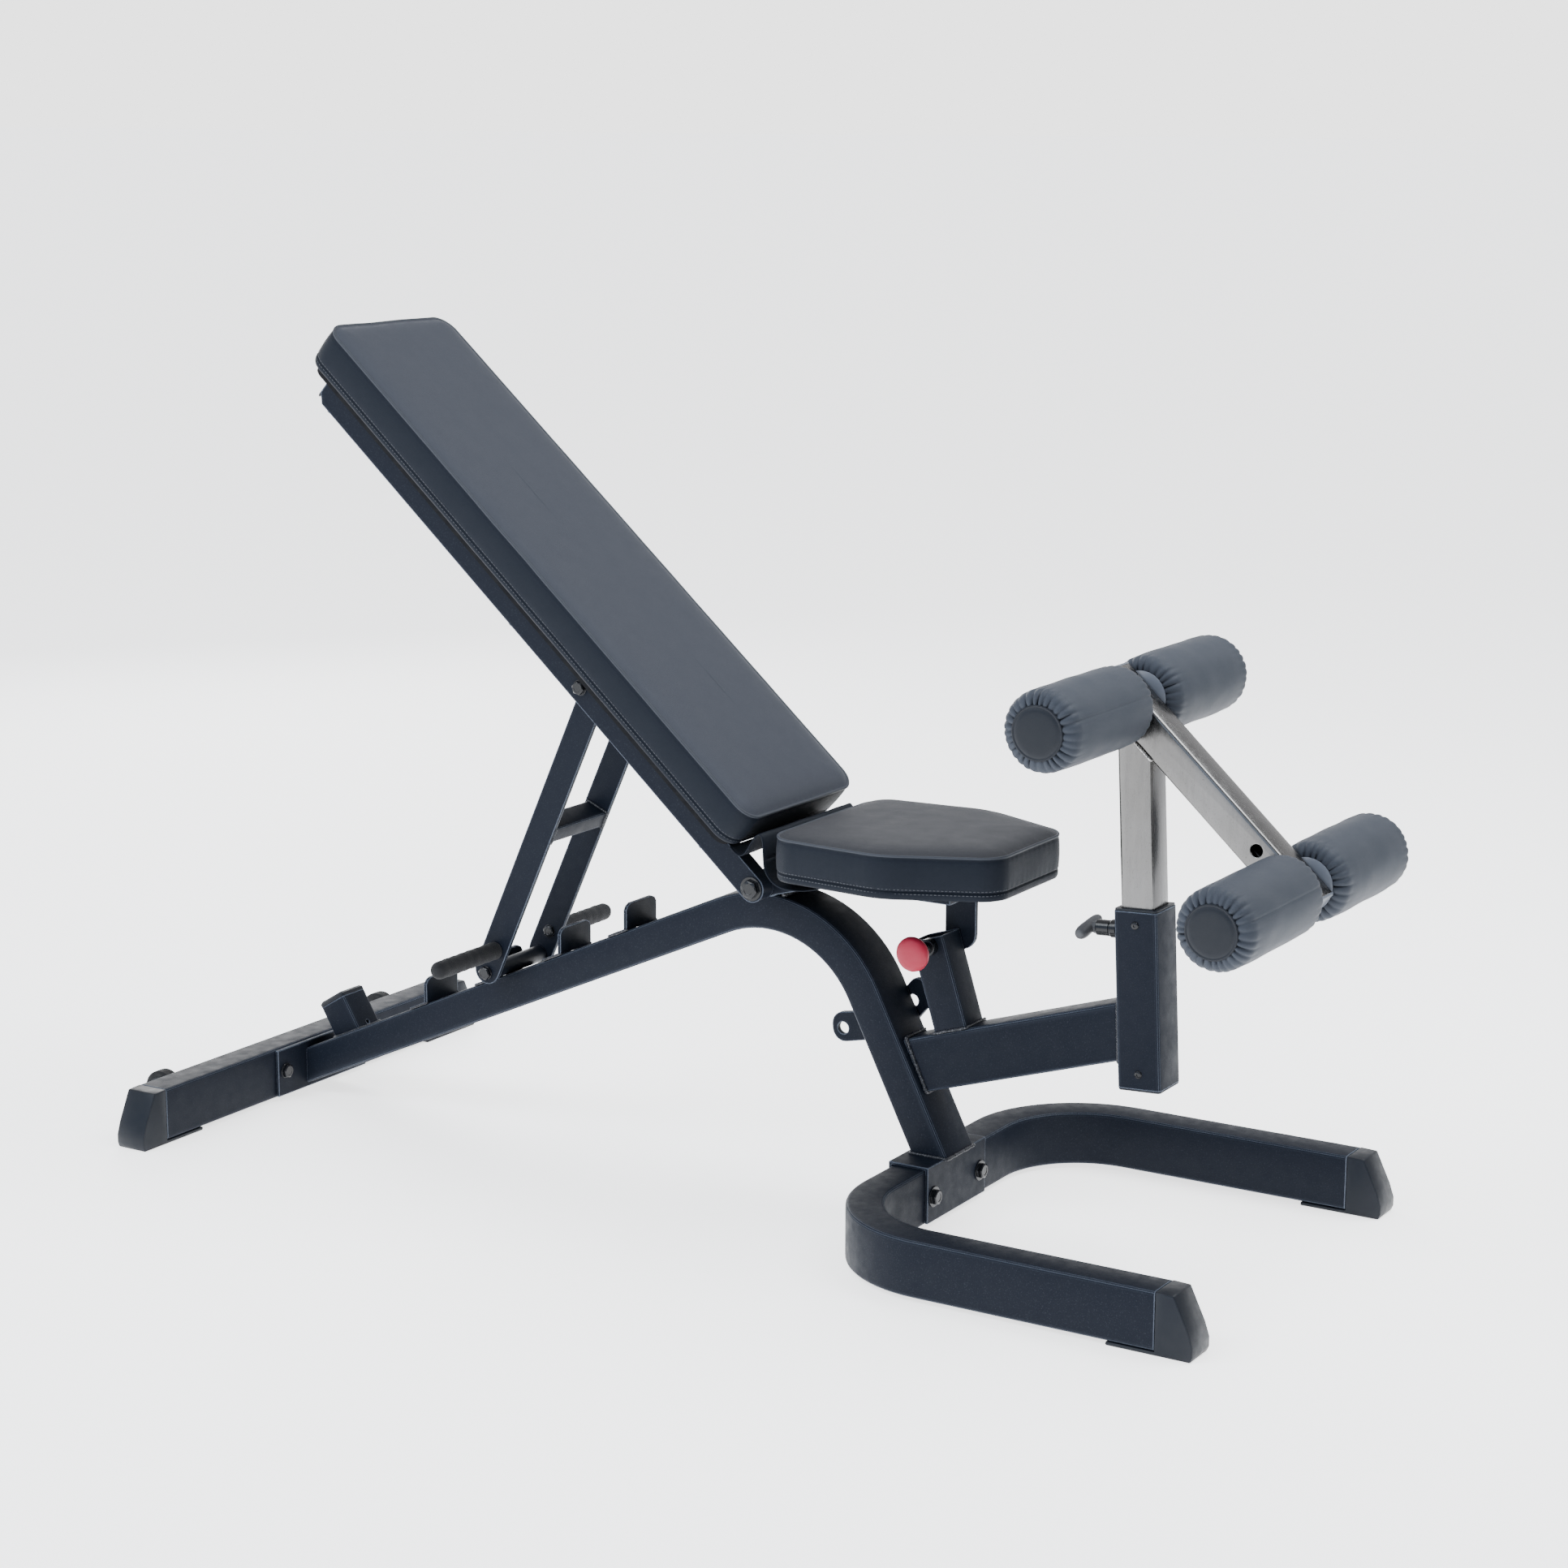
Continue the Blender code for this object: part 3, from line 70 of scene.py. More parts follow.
class Shader:
    """A Principled material that is built up from procedural layers."""

    def __init__(self, name, colour, roughness, metallic=0.0, **sockets):
        self.mat = bpy.data.materials.new(name)
        self.mat.use_nodes = True
        self.tree = self.mat.node_tree
        self.main = self.tree.nodes["Principled BSDF"]
        self.main.inputs["Base Color"].default_value = (*colour, 1.0)
        self.main.inputs["Roughness"].default_value = roughness
        self.main.inputs["Metallic"].default_value = metallic
        for key, value in sockets.items():
            self.main.inputs[key.replace("_", " ")].default_value = value
        self.coords = self.add("ShaderNodeTexCoord").outputs["Object"]
        self.colour = None
        self.normal = None

    def add(self, kind, **values):
        """A new node with its inputs or settings given by name."""
        node = self.tree.nodes.new(kind)
        for key, value in values.items():
            label = key.replace("_", " ")
            if label in node.inputs:
                node.inputs[label].default_value = value
            else:
                setattr(node, key, value)
        return node

    def link(self, source, target):
        self.tree.links.new(source, target)

    def noise(self, scale, detail=3.0, rough=0.5, stretch=None):
        node = self.add("ShaderNodeTexNoise", Scale=scale, Detail=detail, Roughness=rough)
        if stretch:
            mapping = self.add("ShaderNodeMapping", Scale=stretch)
            self.link(self.coords, mapping.inputs["Vector"])
            self.link(mapping.outputs["Vector"], node.inputs["Vector"])
        else:
            self.link(self.coords, node.inputs["Vector"])
        return node.outputs["Fac"]

    def cells(self, scale):
        """Distance to the nearest border in a pattern of cells."""
        node = self.add("ShaderNodeTexVoronoi", feature="DISTANCE_TO_EDGE", Scale=scale)
        self.link(self.coords, node.inputs["Vector"])
        return node.outputs["Distance"]

    def ramp(self, source, low, high, first, second):
        """Map source from low..high to first..second, held at the ends."""
        node = self.add("ShaderNodeMapRange", From_Min=low, From_Max=high, To_Min=first, To_Max=second)
        self.link(source, node.inputs["Value"])
        return node.outputs["Result"]

    def tint(self, factor, colour):
        """Mix another colour over the base where factor is 1."""
        mix = self.add("ShaderNodeMix", data_type="RGBA")
        mix.inputs[7].default_value = (*colour, 1.0)
        if self.colour is None:
            mix.inputs[6].default_value = self.main.inputs["Base Color"].default_value
        else:
            self.link(self.colour, mix.inputs[6])
        self.link(factor, mix.inputs[0])
        self.colour = mix.outputs[2]
        self.link(self.colour, self.main.inputs["Base Color"])

    def patches(self, source, low, high, amount, colour):
        """Tint the places where source is above low, fully so above high."""
        self.tint(self.ramp(source, low, high, 0.0, amount), colour)

    def rough(self, source, first, second, low=0.3, high=0.7):
        """Let the roughness follow source from first to second."""
        self.link(self.ramp(source, low, high, first, second), self.main.inputs["Roughness"])

    def bump(self, source, distance, strength):
        """Add relief; each call lies over the one before."""
        node = self.add("ShaderNodeBump", Strength=strength, Distance=distance)
        self.link(source, node.inputs["Height"])
        if self.normal is not None:
            self.link(self.normal, node.inputs["Normal"])
        self.normal = node.outputs["Normal"]
        self.link(self.normal, self.main.inputs["Normal"])

    def soft_edges_painted_highlight(self, radius, highlight_colour, amount):
        """Round the edges in shading and lighten them with a painted highlight along each edge."""
        bevel = self.add("ShaderNodeBevel", samples=4, Radius=radius)
        geometry = self.add("ShaderNodeNewGeometry")
        dot = self.add("ShaderNodeVectorMath", operation="DOT_PRODUCT")
        self.link(bevel.outputs["Normal"], dot.inputs[0])
        self.link(geometry.outputs["True Normal"], dot.inputs[1])
        # painted highlight: the edges are tinted toward the lighter colour
        edge = self.ramp(dot.outputs["Value"], 0.992, 0.88, 0.0, amount)
        self.tint(edge, highlight_colour)
        self.normal = bevel.outputs["Normal"]


def frame_paint():
    paint = Shader("powder_coat_navy_black", (0.0064, 0.0088, 0.0148), 0.48, Specular_IOR_Level=0.08)
    # painted highlight along the tube edges
    paint.soft_edges_painted_highlight(0.0027, (0.230, 0.270, 0.340), 0.90)
    paint.patches(paint.noise(5.0, 4.0), 0.35, 0.75, 0.5, (0.0072, 0.0098, 0.0160))
    paint.patches(paint.noise(620.0, 2.0), 0.58, 0.74, 0.55, (0.026, 0.030, 0.040))
    paint.rough(paint.noise(60.0, 3.0), 0.40, 0.54)
    paint.bump(paint.noise(900.0, 2.0), 0.00025, 0.5)
    return paint.mat


def painted_weld():
    weld_paint = Shader("painted_weld", (0.010, 0.012, 0.016), 0.40, 0.1, Specular_IOR_Level=0.4)
    weld_paint.patches(weld_paint.noise(420.0, 3.0), 0.50, 0.68, 0.85, (0.10, 0.10, 0.11))
    weld_paint.rough(weld_paint.noise(200.0, 2.0), 0.28, 0.50)
    weld_paint.bump(weld_paint.noise(700.0, 3.0), 0.0006, 0.8)
    return weld_paint.mat


def satin_chrome():
    chrome = Shader("satin_nickel_plate", (0.155, 0.153, 0.151), 0.24, 1.0)
    # painted highlight along the plated edges
    chrome.soft_edges_painted_highlight(0.0016, (0.62, 0.62, 0.60), 0.8)
    chrome.patches(chrome.noise(9.0, 5.0, 0.6), 0.40, 0.72, 0.55, (0.118, 0.114, 0.108))
    chrome.patches(chrome.noise(520.0, 2.0), 0.66, 0.72, 0.8, (0.08, 0.075, 0.07))
    chrome.rough(chrome.noise(160.0, 4.0, 0.6, (1.0, 1.0, 0.12)), 0.16, 0.34, 0.25, 0.75)
    chrome.bump(chrome.noise(900.0, 3.0, 0.6, (1.0, 1.0, 0.08)), 0.00006, 0.5)
    return chrome.mat


def bright_weld():
    bead = Shader("bright_weld", (0.42, 0.41, 0.40), 0.30, 1.0)
    bead.rough(bead.noise(300.0, 2.0), 0.2, 0.45)
    bead.bump(bead.noise(600.0, 3.0), 0.0005, 0.8)
    return bead.mat


def dark_zinc():
    zinc = Shader("black_zinc", (0.0050, 0.0058, 0.0075), 0.18, Specular_IOR_Level=0.32)
    # painted highlight along the bolt edges
    zinc.soft_edges_painted_highlight(0.0004, (0.045, 0.049, 0.058), 0.5)
    zinc.rough(zinc.noise(350.0, 3.0), 0.12, 0.26)
    zinc.bump(zinc.noise(1100.0, 2.0), 0.0001, 0.5)
    return zinc.mat


def vinyl(name, colour, dusty, grain_depth, shine, painted_fold_shade=False):
    """Leather-grained vinyl with dusty patches; painted_fold_shade paints shade into the hollows between pleats.
    """
    skin = Shader(name, colour, 0.5, Specular_IOR_Level=shine, Sheen_Weight=0.02)
    skin.patches(skin.noise(4.0, 5.0, 0.6), 0.35, 0.72, 0.35, dusty)
    grain = skin.cells(900.0)
    skin.tint(skin.ramp(grain, 0.00, 0.09, 0.35, 0.0), tuple(value * 0.45 for value in colour))
    skin.rough(skin.noise(30.0, 4.0), 0.50, 0.58)
    skin.bump(skin.ramp(grain, 0.0, 0.16, 0.0, 1.0), grain_depth, 0.6)
    skin.bump(skin.noise(90.0, 3.0), grain_depth * 1.6, 0.5)
    if painted_fold_shade:
        # painted shade: the hollows between pleats darken where the surface is occluded
        hollow = skin.add("ShaderNodeAmbientOcclusion", samples=6, Distance=0.007)
        skin.tint(skin.ramp(hollow.outputs["AO"], 0.40, 0.88, 0.92, 0.0), (0.0035, 0.0050, 0.0080))
    return skin.mat


def stitch_thread():
    thread = Shader("stitch_thread", (0.060, 0.065, 0.075), 0.75)
    thread.patches(thread.noise(2500.0, 2.0), 0.4, 0.6, 0.7, (0.028, 0.031, 0.037))
    thread.bump(thread.noise(3000.0, 2.0), 0.0002, 0.7)
    return thread.mat


def black_plastic():
    plastic = Shader("moulded_black_plastic", (0.0058, 0.0080, 0.0125), 0.44, Specular_IOR_Level=0.20)
    # painted highlight along the moulded edges
    plastic.soft_edges_painted_highlight(0.0014, (0.040, 0.044, 0.052), 0.6)
    plastic.patches(plastic.noise(7.0, 4.0), 0.4, 0.7, 0.6, (0.0080, 0.0102, 0.0150))
    plastic.rough(plastic.noise(90.0, 3.0), 0.34, 0.48)
    plastic.bump(plastic.noise(1300.0, 2.0), 0.00018, 0.6)
    return plastic.mat


def grey_plastic():
    grey = Shader("moulded_grey_plastic", (0.062, 0.063, 0.068), 0.50, Specular_IOR_Level=0.30)
    grey.patches(grey.noise(30.0, 4.0), 0.4, 0.7, 0.6, (0.044, 0.045, 0.049))
    grey.rough(grey.noise(120.0, 3.0), 0.42, 0.58)
    grey.bump(grey.noise(900.0, 2.0), 0.0002, 0.6)
    return grey.mat


def pale_plastic():
    plug = Shader("pale_blue_grey_plastic", (0.115, 0.130, 0.160), 0.42)
    plug.patches(plug.noise(40.0, 4.0), 0.4, 0.7, 0.5, (0.080, 0.092, 0.118))
    plug.rough(plug.noise(120.0, 3.0), 0.34, 0.52)
    plug.bump(plug.noise(1000.0, 2.0), 0.00015, 0.5)
    return plug.mat


def grip_foam():
    foam = Shader("closed_cell_foam", (0.0150, 0.0155, 0.0175), 0.85,
                  Specular_IOR_Level=0.2, Sheen_Weight=0.05)
    cells = foam.cells(1400.0)
    foam.tint(foam.ramp(cells, 0.0, 0.12, 0.6, 0.0), (0.0060, 0.0062, 0.0070))
    foam.rough(foam.noise(80.0, 3.0), 0.72, 0.92)
    foam.bump(foam.ramp(cells, 0.0, 0.2, 0.0, 1.0), 0.0003, 0.7)
    foam.bump(foam.noise(260.0, 3.0), 0.0004, 0.5)
    return foam.mat


def red_plastic():
    red = Shader("moulded_red_plastic", (0.31, 0.010, 0.032), 0.46, Specular_IOR_Level=0.35)
    red.patches(red.noise(25.0, 4.0), 0.4, 0.7, 0.5, (0.35, 0.022, 0.046))
    red.rough(red.noise(150.0, 3.0), 0.38, 0.56)
    red.bump(red.noise(900.0, 2.0), 0.00022, 0.6)
    return red.mat


def stained_board():
    # the board's stain is darkened to near black: painted shade under the back pad
    wood = Shader("pad_board_painted_shade", (0.0045, 0.0050, 0.0065), 0.75, Specular_IOR_Level=0.12)
    wood.patches(wood.noise(40.0, 5.0, 0.6, (0.15, 1.0, 6.0)), 0.4, 0.65, 0.7, (0.0085, 0.0085, 0.0095))
    wood.rough(wood.noise(60.0, 3.0), 0.65, 0.85)
    wood.bump(wood.noise(300.0, 4.0, 0.6, (0.1, 1.0, 4.0)), 0.0004, 0.6)
    return wood.mat


def black_rubber():
    rubber = Shader("wheel_rubber", (0.0070, 0.0075, 0.0085), 0.7, Specular_IOR_Level=0.25)
    rubber.patches(rubber.noise(50.0, 4.0), 0.45, 0.7, 0.7, (0.0160, 0.0160, 0.0165))
    rubber.rough(rubber.noise(90.0, 3.0), 0.6, 0.85)
    rubber.bump(rubber.noise(500.0, 3.0), 0.0004, 0.6)
    return rubber.mat


# The floor glows near the bench as painted light and is painted grey to the camera's right as shade, so that it
# doesn't light the bench's front faces. The numbers are metres along the direction.
FLOOR_SHADE_SIDE = (0.950, 0.312, 0.0)
FLOOR_SHADE_SPAN = (1.25, 3.0)
FLOOR_GLOW_SPAN = (1.10, 2.8)
FLOOR_GLOW = 1.9
FLOOR_GLOW_FAR = 0.40


def pale_floor():
    floor = Shader("pale_floor", (0.96, 0.96, 0.96), 0.65, Specular_IOR_Level=0.2)
    reach = floor.add("ShaderNodeVectorMath", operation="DOT_PRODUCT")
    floor.link(floor.coords, reach.inputs[0])
    reach.inputs[1].default_value = FLOOR_SHADE_SIDE
    far = reach.outputs["Value"]
    # painted shade: the floor turns grey to the camera's right
    floor.patches(far, *FLOOR_SHADE_SPAN, 0.55, (0.52, 0.52, 0.52))
    # painted light: the floor glows near the bench and lights it as a lamp would
    glow = floor.ramp(far, *FLOOR_GLOW_SPAN, FLOOR_GLOW, FLOOR_GLOW_FAR)
    floor.link(glow, floor.main.inputs["Emission Strength"])
    floor.main.inputs["Emission Color"].default_value = (1.0, 1.0, 1.0, 1.0)
    floor.rough(floor.noise(3.0, 4.0), 0.6, 0.72)
    floor.bump(floor.noise(120.0, 3.0), 0.0001, 0.08)
    return floor.mat


MATS = {
    "frame_paint": frame_paint(),
    "weld": painted_weld(),
    "satin_chrome": satin_chrome(),
    "bright_weld": bright_weld(),
    "dark_zinc": dark_zinc(),
    "thread": stitch_thread(),
    "black_plastic": black_plastic(),
    "grey_plastic": grey_plastic(),
    "plug": pale_plastic(),
    "grip_foam": grip_foam(),
    "red_plastic": red_plastic(),
    "stained_board": stained_board(),
    "black_rubber": black_rubber(),
    "floor": pale_floor()}
# name, colour, colour of the dusty patches, depth of the grain, shine, and whether shade is painted into the folds
VINYLS = (
    ("charcoal_vinyl", (0.0450, 0.0495, 0.0620), (0.0480, 0.0525, 0.0650), 0.00009, 0.07),
    # the seat's vinyl is a darker, more neutral copy of the charcoal vinyl: painted shade on the seat's top
    ("seat_vinyl_shaded", (0.0350, 0.0360, 0.0405), (0.0385, 0.0390, 0.0430), 0.00009, 0.07),
    ("roller_vinyl", (0.0400, 0.0468, 0.0600), (0.0430, 0.0498, 0.0630), 0.00005, 0.12, True),
    # the sides' vinyl is a far darker copy of the charcoal vinyl: painted shade on the pads' sides, undersides and
    # the flap
    ("side_vinyl_shaded", (0.0066, 0.0095, 0.0155), (0.0076, 0.0106, 0.0170), 0.00009, 0.10),
    # the welt's vinyl is lighter and shinier than the sides': a painted highlight along the top seam
    ("welt_vinyl_highlight", (0.0330, 0.0380, 0.0480), (0.0380, 0.0430, 0.0530), 0.00005, 0.20))
MATS.update({row[0]: vinyl(*row) for row in VINYLS})


# ------------------------ mesh helpers

def add_piece(name, verts, faces, look, body, sharp=38.0):
    """A mesh piece from points of the bench frame, riding on a body if one is given."""
    mesh = bpy.data.meshes.new(name)
    mesh.from_pydata([tuple(Vector(v) + SHIFT) for v in verts], [], faces)
    bm = bmesh.new()
    bm.from_mesh(mesh)
    bmesh.ops.recalc_face_normals(bm, faces=bm.faces)
    bm.to_mesh(mesh)
    bm.free()
    mesh.materials.append(MATS[look])
    mesh.shade_smooth()
    mesh.set_sharp_from_angle(angle=math.radians(sharp))
    obj = bpy.data.objects.new(name, mesh)
    bpy.context.collection.objects.link(obj)
    if body:
        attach(obj, body)
    return obj


def ring_faces(rings, size, closed=False):
    """Faces between rings of size points each; the ends are capped, or joined to each other if closed."""
    faces = []
    spans = rings if closed else rings - 1
    for row in range(spans):
        low = row * size
        high = ((row + 1) % rings) * size
        for index in range(size):
            after = (index + 1) % size
            faces.append((low + index, low + after, high + after, high + index))
    if not closed:
        faces.append(tuple(range(size)))
        faces.append(tuple(reversed(range((rings - 1) * size, rings * size))))
    return faces


def across(direction):
    """Two directions square to the given one and to each other."""
    helper = Vector((0, 0, 1)) if abs(direction.z) < 0.9 else Vector((1, 0, 0))
    first = direction.cross(helper).normalized()
    return first, direction.cross(first).normalized()


def turned(origin, direction, profile, segments=48, shape=None):
    """Points and faces of a solid of revolution; shape(row, angle) gives extra (along, radius)."""
    origin = Vector(origin)
    direction = Vector(direction).normalized()
    first, second = across(direction)
    verts = []
    for row, (along, radius) in enumerate(profile):
        for index in range(segments):
            angle = 2 * math.pi * index / segments
            extra_along, extra_radius = shape(row, angle) if shape else (0.0, 0.0)
            out = first * math.cos(angle) + second * math.sin(angle)
            verts.append(origin + direction * (along + extra_along) + out * (radius + extra_radius))
    return verts, ring_faces(len(profile), segments)


def merge(parts):
    """One pair of points and faces from several."""
    verts = []
    faces = []
    for part_verts, part_faces in parts:
        base = len(verts)
        verts.extend(part_verts)
        faces.extend(tuple(base + index for index in face) for face in part_faces)
    return verts, faces


# ------------------------ outlines of the pads

ARC_STEPS = 12
PAD_SPACING = 0.006
SMALLEST_CORNER = 0.004


def inset(points, distance):
    """The corners of a convex outline, given anticlockwise, moved inwards."""
    moved = []
    for index, point in enumerate(points):
        here = Vector(point)
        into = (here - Vector(points[index - 1])).normalized()
        out = (Vector(points[(index + 1) % len(points)]) - here).normalized()
        normal_in = Vector((-into.y, into.x))
        normal_out = Vector((-out.y, out.x))
        mean = (normal_in + normal_out).normalized()
        moved.append(here + mean * (distance / mean.dot(normal_in)))
    return moved


def dense(points, radii, edge_counts):
    """A rounded outline with a fixed number of points on each corner and each edge."""
    arcs = []
    for index, point in enumerate(points):
        here = Vector(point)
        before = (Vector(points[index - 1]) - here).normalized()
        after = (Vector(points[(index + 1) % len(points)]) - here).normalized()
        half = before.angle(after) / 2
        radius = radii[index]
        middle = here + (before + after).normalized() * (radius / math.sin(half))
        start = here + before * (radius / math.tan(half)) - middle
        sweep = math.pi - 2 * half
        arcs.append([middle + Matrix.Rotation(sweep * step / ARC_STEPS, 2) @ start
                     for step in range(ARC_STEPS + 1)])
    outline = []
    for index, arc in enumerate(arcs):
        outline.extend(arc)
        target = arcs[(index + 1) % len(arcs)][0]
        for step in range(1, edge_counts[index]):
            outline.append(arc[-1].lerp(target, step / edge_counts[index]))
    return outline


class Pad:
    """A cushion's plan; place(a, b, height) turns a point of it into one of the bench frame."""

    def __init__(self, corners, radii, place):
        self.corners = corners
        self.radii = radii
        self.place = place
        self.counts = []
        for index, corner in enumerate(corners):
            length = (Vector(corners[(index + 1) % len(corners)]) - Vector(corner)).length
            self.counts.append(max(int(length / PAD_SPACING), 4))

    def ring(self, step):
        radii = [max(radius - step, SMALLEST_CORNER) for radius in self.radii]
        return dense(inset(self.corners, step), radii, self.counts)


WELT_FIRST_ROW = 17
WELT_END_ROW = 21
EDGE_STEP = 0.02
PANEL_STEP = 0.05


def cushion(pad, name, levels, body, node, seams, look):
    """A tailored cushion: boxed sides with a bottom seam, a raised welt round the top and a crowned panel."""
    verts = []
    centre = sum((Vector(corner) for corner in pad.corners), Vector((0.0, 0.0))) / len(pad.corners)
    for height, step, pucker in levels:
        for index, flat in enumerate(pad.ring(step)):
            sample = Vector((flat.x, flat.y, height)) * 14.0
            soft = 0.0009 * noise.noise(sample) if step < PANEL_STEP else 0.0006 * noise.noise(sample * 0.5)
            gather = pucker * math.sin(index * 2.1 + 2.0 * noise.noise(sample * 2.0))
            if step < EDGE_STEP:
                away = (flat - centre).normalized() * (soft + gather)
                verts.append(pad.place(flat.x + away.x, flat.y + away.y, height + gather * 0.3))
            else:
                verts.append(pad.place(flat.x, flat.y, height + soft * 0.6 + gather * 0.5))
    size = len(verts) // len(levels)
    faces = ring_faces(len(levels), size)
    underside = len(faces) - 2
    obj = add_piece(name, verts, faces, look, body, 60.0)
    obj.data.materials.append(MATS["side_vinyl_shaded"])
    obj.data.materials.append(MATS["welt_vinyl_highlight"])
    for polygon in obj.data.polygons:
        row = polygon.index // size
        if row < WELT_FIRST_ROW or polygon.index == underside:
            # the sides and the underside take the darker copy of the vinyl: painted shade
            polygon.material_index = 1
        elif row < WELT_END_ROW:
            # the welt rows take the lighter vinyl: a painted highlight along the top seam
            polygon.material_index = 2
    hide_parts(node)
    stitches(pad, name + "_stitching", seams, body)


STITCH_PITCH = 0.0052
STITCH_LENGTH = 0.0036
THREAD_R = 0.00055
STITCH_RINGS = ((-0.5, 0.35), (-0.3, 1.0), (0.3, 1.0), (0.5, 0.35))
STITCH_CORNERS = 6


def stitches(pad, name, seams, body):
    """Rows of thread at each (height, inset) of seams, each stitch its own small raised capsule."""
    parts = []
    for height, step in seams:
        outline = pad.ring(step)
        outline.append(outline[0])
        travelled = 0.0
        wanted = 0.0
        for before, after in zip(outline, outline[1:]):
            span = (after - before).length
            while wanted < travelled + span:
                share = (wanted - travelled) / span
                middle = before.lerp(after, share)
                along = (after - before).normalized()
                normal = Vector((along.y, -along.x))
                capsule = []
                for offset, radius in STITCH_RINGS:
                    here = middle + along * (offset * STITCH_LENGTH)
                    for corner in range(STITCH_CORNERS):
                        angle = 2 * math.pi * corner / STITCH_CORNERS
                        flat = here + normal * (math.cos(angle) * radius * THREAD_R)
                        raised = height + math.sin(angle) * radius * THREAD_R
                        capsule.append(pad.place(flat.x, flat.y, raised))
                parts.append((capsule, ring_faces(len(STITCH_RINGS), STITCH_CORNERS)))
                wanted += STITCH_PITCH
            travelled += span
    verts, faces = merge(parts)
    add_piece(name, verts, faces, "thread", body, 60.0)


# The back pad's plane in x and z: a point of it, its direction down the pad, and its outward normal.
PAD_POINT = Vector((0.5030, 0.8866))
PAD_DIR = Vector((0.7481, -0.6636))
PAD_NORMAL = Vector((-PAD_DIR.y, PAD_DIR.x))


def pad_xz(s, n):
    """The x and z of a point s down the back pad and n out of its plane."""
    flat = PAD_POINT + PAD_DIR * s + PAD_NORMAL * n
    return flat.x, flat.y


def back_place(s, y, n):
    x, z = pad_xz(s, n)
    return Vector((x, y, z))


def seat_place(x, y, z):
    return Vector((x, y, z))


def pad_levels(bottom, seam, top, crown, pucker):
    """Rows of (height, inset, pucker) from the underside to the middle of the crowned panel."""
    rise = top - seam
    return [
        (bottom + 0.0004, 0.0300, 0.0), (bottom, 0.0060, 0.0), (bottom + 0.0012, 0.0016, 0.0),
        (bottom + 0.0040, 0.0003, 0.0), (seam - 0.0030, 0.0000, 0.0), (seam - 0.0012, 0.0005, pucker * 0.4),
        (seam - 0.0004, 0.0018, pucker * 0.3), (seam + 0.0004, 0.0018, pucker * 0.3),
        (seam + 0.0012, 0.0003, pucker), (seam + 0.0035, -0.0005, pucker * 0.7),
        (seam + rise * 0.22, -0.0011, pucker * 0.2), (seam + rise * 0.45, -0.0015, 0.0),
        (seam + rise * 0.66, -0.0013, 0.0), (seam + rise * 0.82, -0.0008, pucker * 0.2),
        (top - 0.0058, -0.0003, pucker * 0.4), (top - 0.0036, 0.0006, pucker * 0.3),
        (top - 0.0027, 0.0004, 0.0), (top - 0.0016, -0.0008, 0.0), (top, -0.0011, 0.0),
        (top + 0.0013, -0.0002, 0.0), (top + 0.0012, 0.0012, 0.0),
        (top + 0.0002, 0.0026, pucker * 0.3), (top + 0.0006, 0.0042, pucker * 0.5),
        (top + crown * 0.36, 0.0080, pucker * 0.3), (top + crown * 0.60, 0.0140, 0.0),
        (top + crown * 0.78, 0.0220, 0.0), (top + crown * 0.90, 0.0340, 0.0),
        (top + crown * 0.96, 0.0500, 0.0), (top + crown * 0.99, 0.0680, 0.0), (top + crown, 0.0850, 0.0)]


# Half plans: corners of the left side, from the rear or top end on, and their rounding.
BACK_CORNERS = ((-0.4200, 0.1350, 0.030), (0.5220, 0.1400, 0.030))
SEAT_CORNERS = ((0.9210, 0.1450, 0.042), (1.0985, 0.1590, 0.100), (1.2415, 0.0930, 0.044))


def pad_from_half(half, place):
    corners = [(a, -b) for a, b, _ in half] + [(a, b) for a, b, _ in reversed(half)]
    radii = [radius for _, _, radius in half]
    return Pad(corners, radii + radii[::-1], place)


def build_pads():
    """The covers of the back pad and of the seat, each with two rows of stitching near its bottom seam."""
    levels = pad_levels(bottom=-0.0614, seam=-0.0508, top=-0.0040, crown=0.0086, pucker=0.00035)
    levels.extend([(0.0047, 0.1050, 0.0), (0.0047, 0.1200, 0.0)])
    cushion(pad_from_half(BACK_CORNERS, back_place), "back_cushion_cover", levels, "back", "back_cushion",
            ((-0.0535, 0.0002), (-0.0478, -0.0003)), "charcoal_vinyl")
    levels = pad_levels(bottom=0.4602, seam=0.4720, top=0.5192, crown=0.0092, pucker=0.00060)
    # the seat takes the darker copy of the vinyl as painted shade
    cushion(pad_from_half(SEAT_CORNERS, seat_place), "seat_cushion_cover", levels, "seat", "seat_cushion",
            ((0.4692, 0.0002), (0.4750, -0.0004)), "seat_vinyl_shaded")


# ------------------------ rollers and grips

ROLLERS = (("upper", (1.3780, 0.7258)), ("lower", (1.6140, 0.5098)))
ROLLER_INNER = 0.0300
ROLLER_OUTER = 0.2600
ROLLER_R = 0.0528
ROLLER_SHOULDER_R = ROLLER_R - 0.0008
ROLLER_END_DEPTH = 0.0190
ROLLER_END_STEPS = 9
ROLLER_DISC_R = 0.0345
PLEATS = 29
PLEAT_DEPTH = 0.0036
SEAM_DEGREES = 200.0
OUTER_DISC = ((-0.004, 0.0340), (0.0006, 0.0350), (0.0017, 0.0346), (0.0022, 0.0332), (0.0016, 0.0322),
              (0.0016, 0.0312), (0.0023, 0.0302), (0.0028, 0.0250), (0.0031, 0.0150), (0.0032, 0.0040),
              (0.0032, 0.0006))
INNER_DISC = ((-0.004, 0.0335), (0.0010, 0.0350), (0.0022, 0.0340), (0.0024, 0.0200), (0.0034, 0.0150),
              (0.0036, 0.0100))


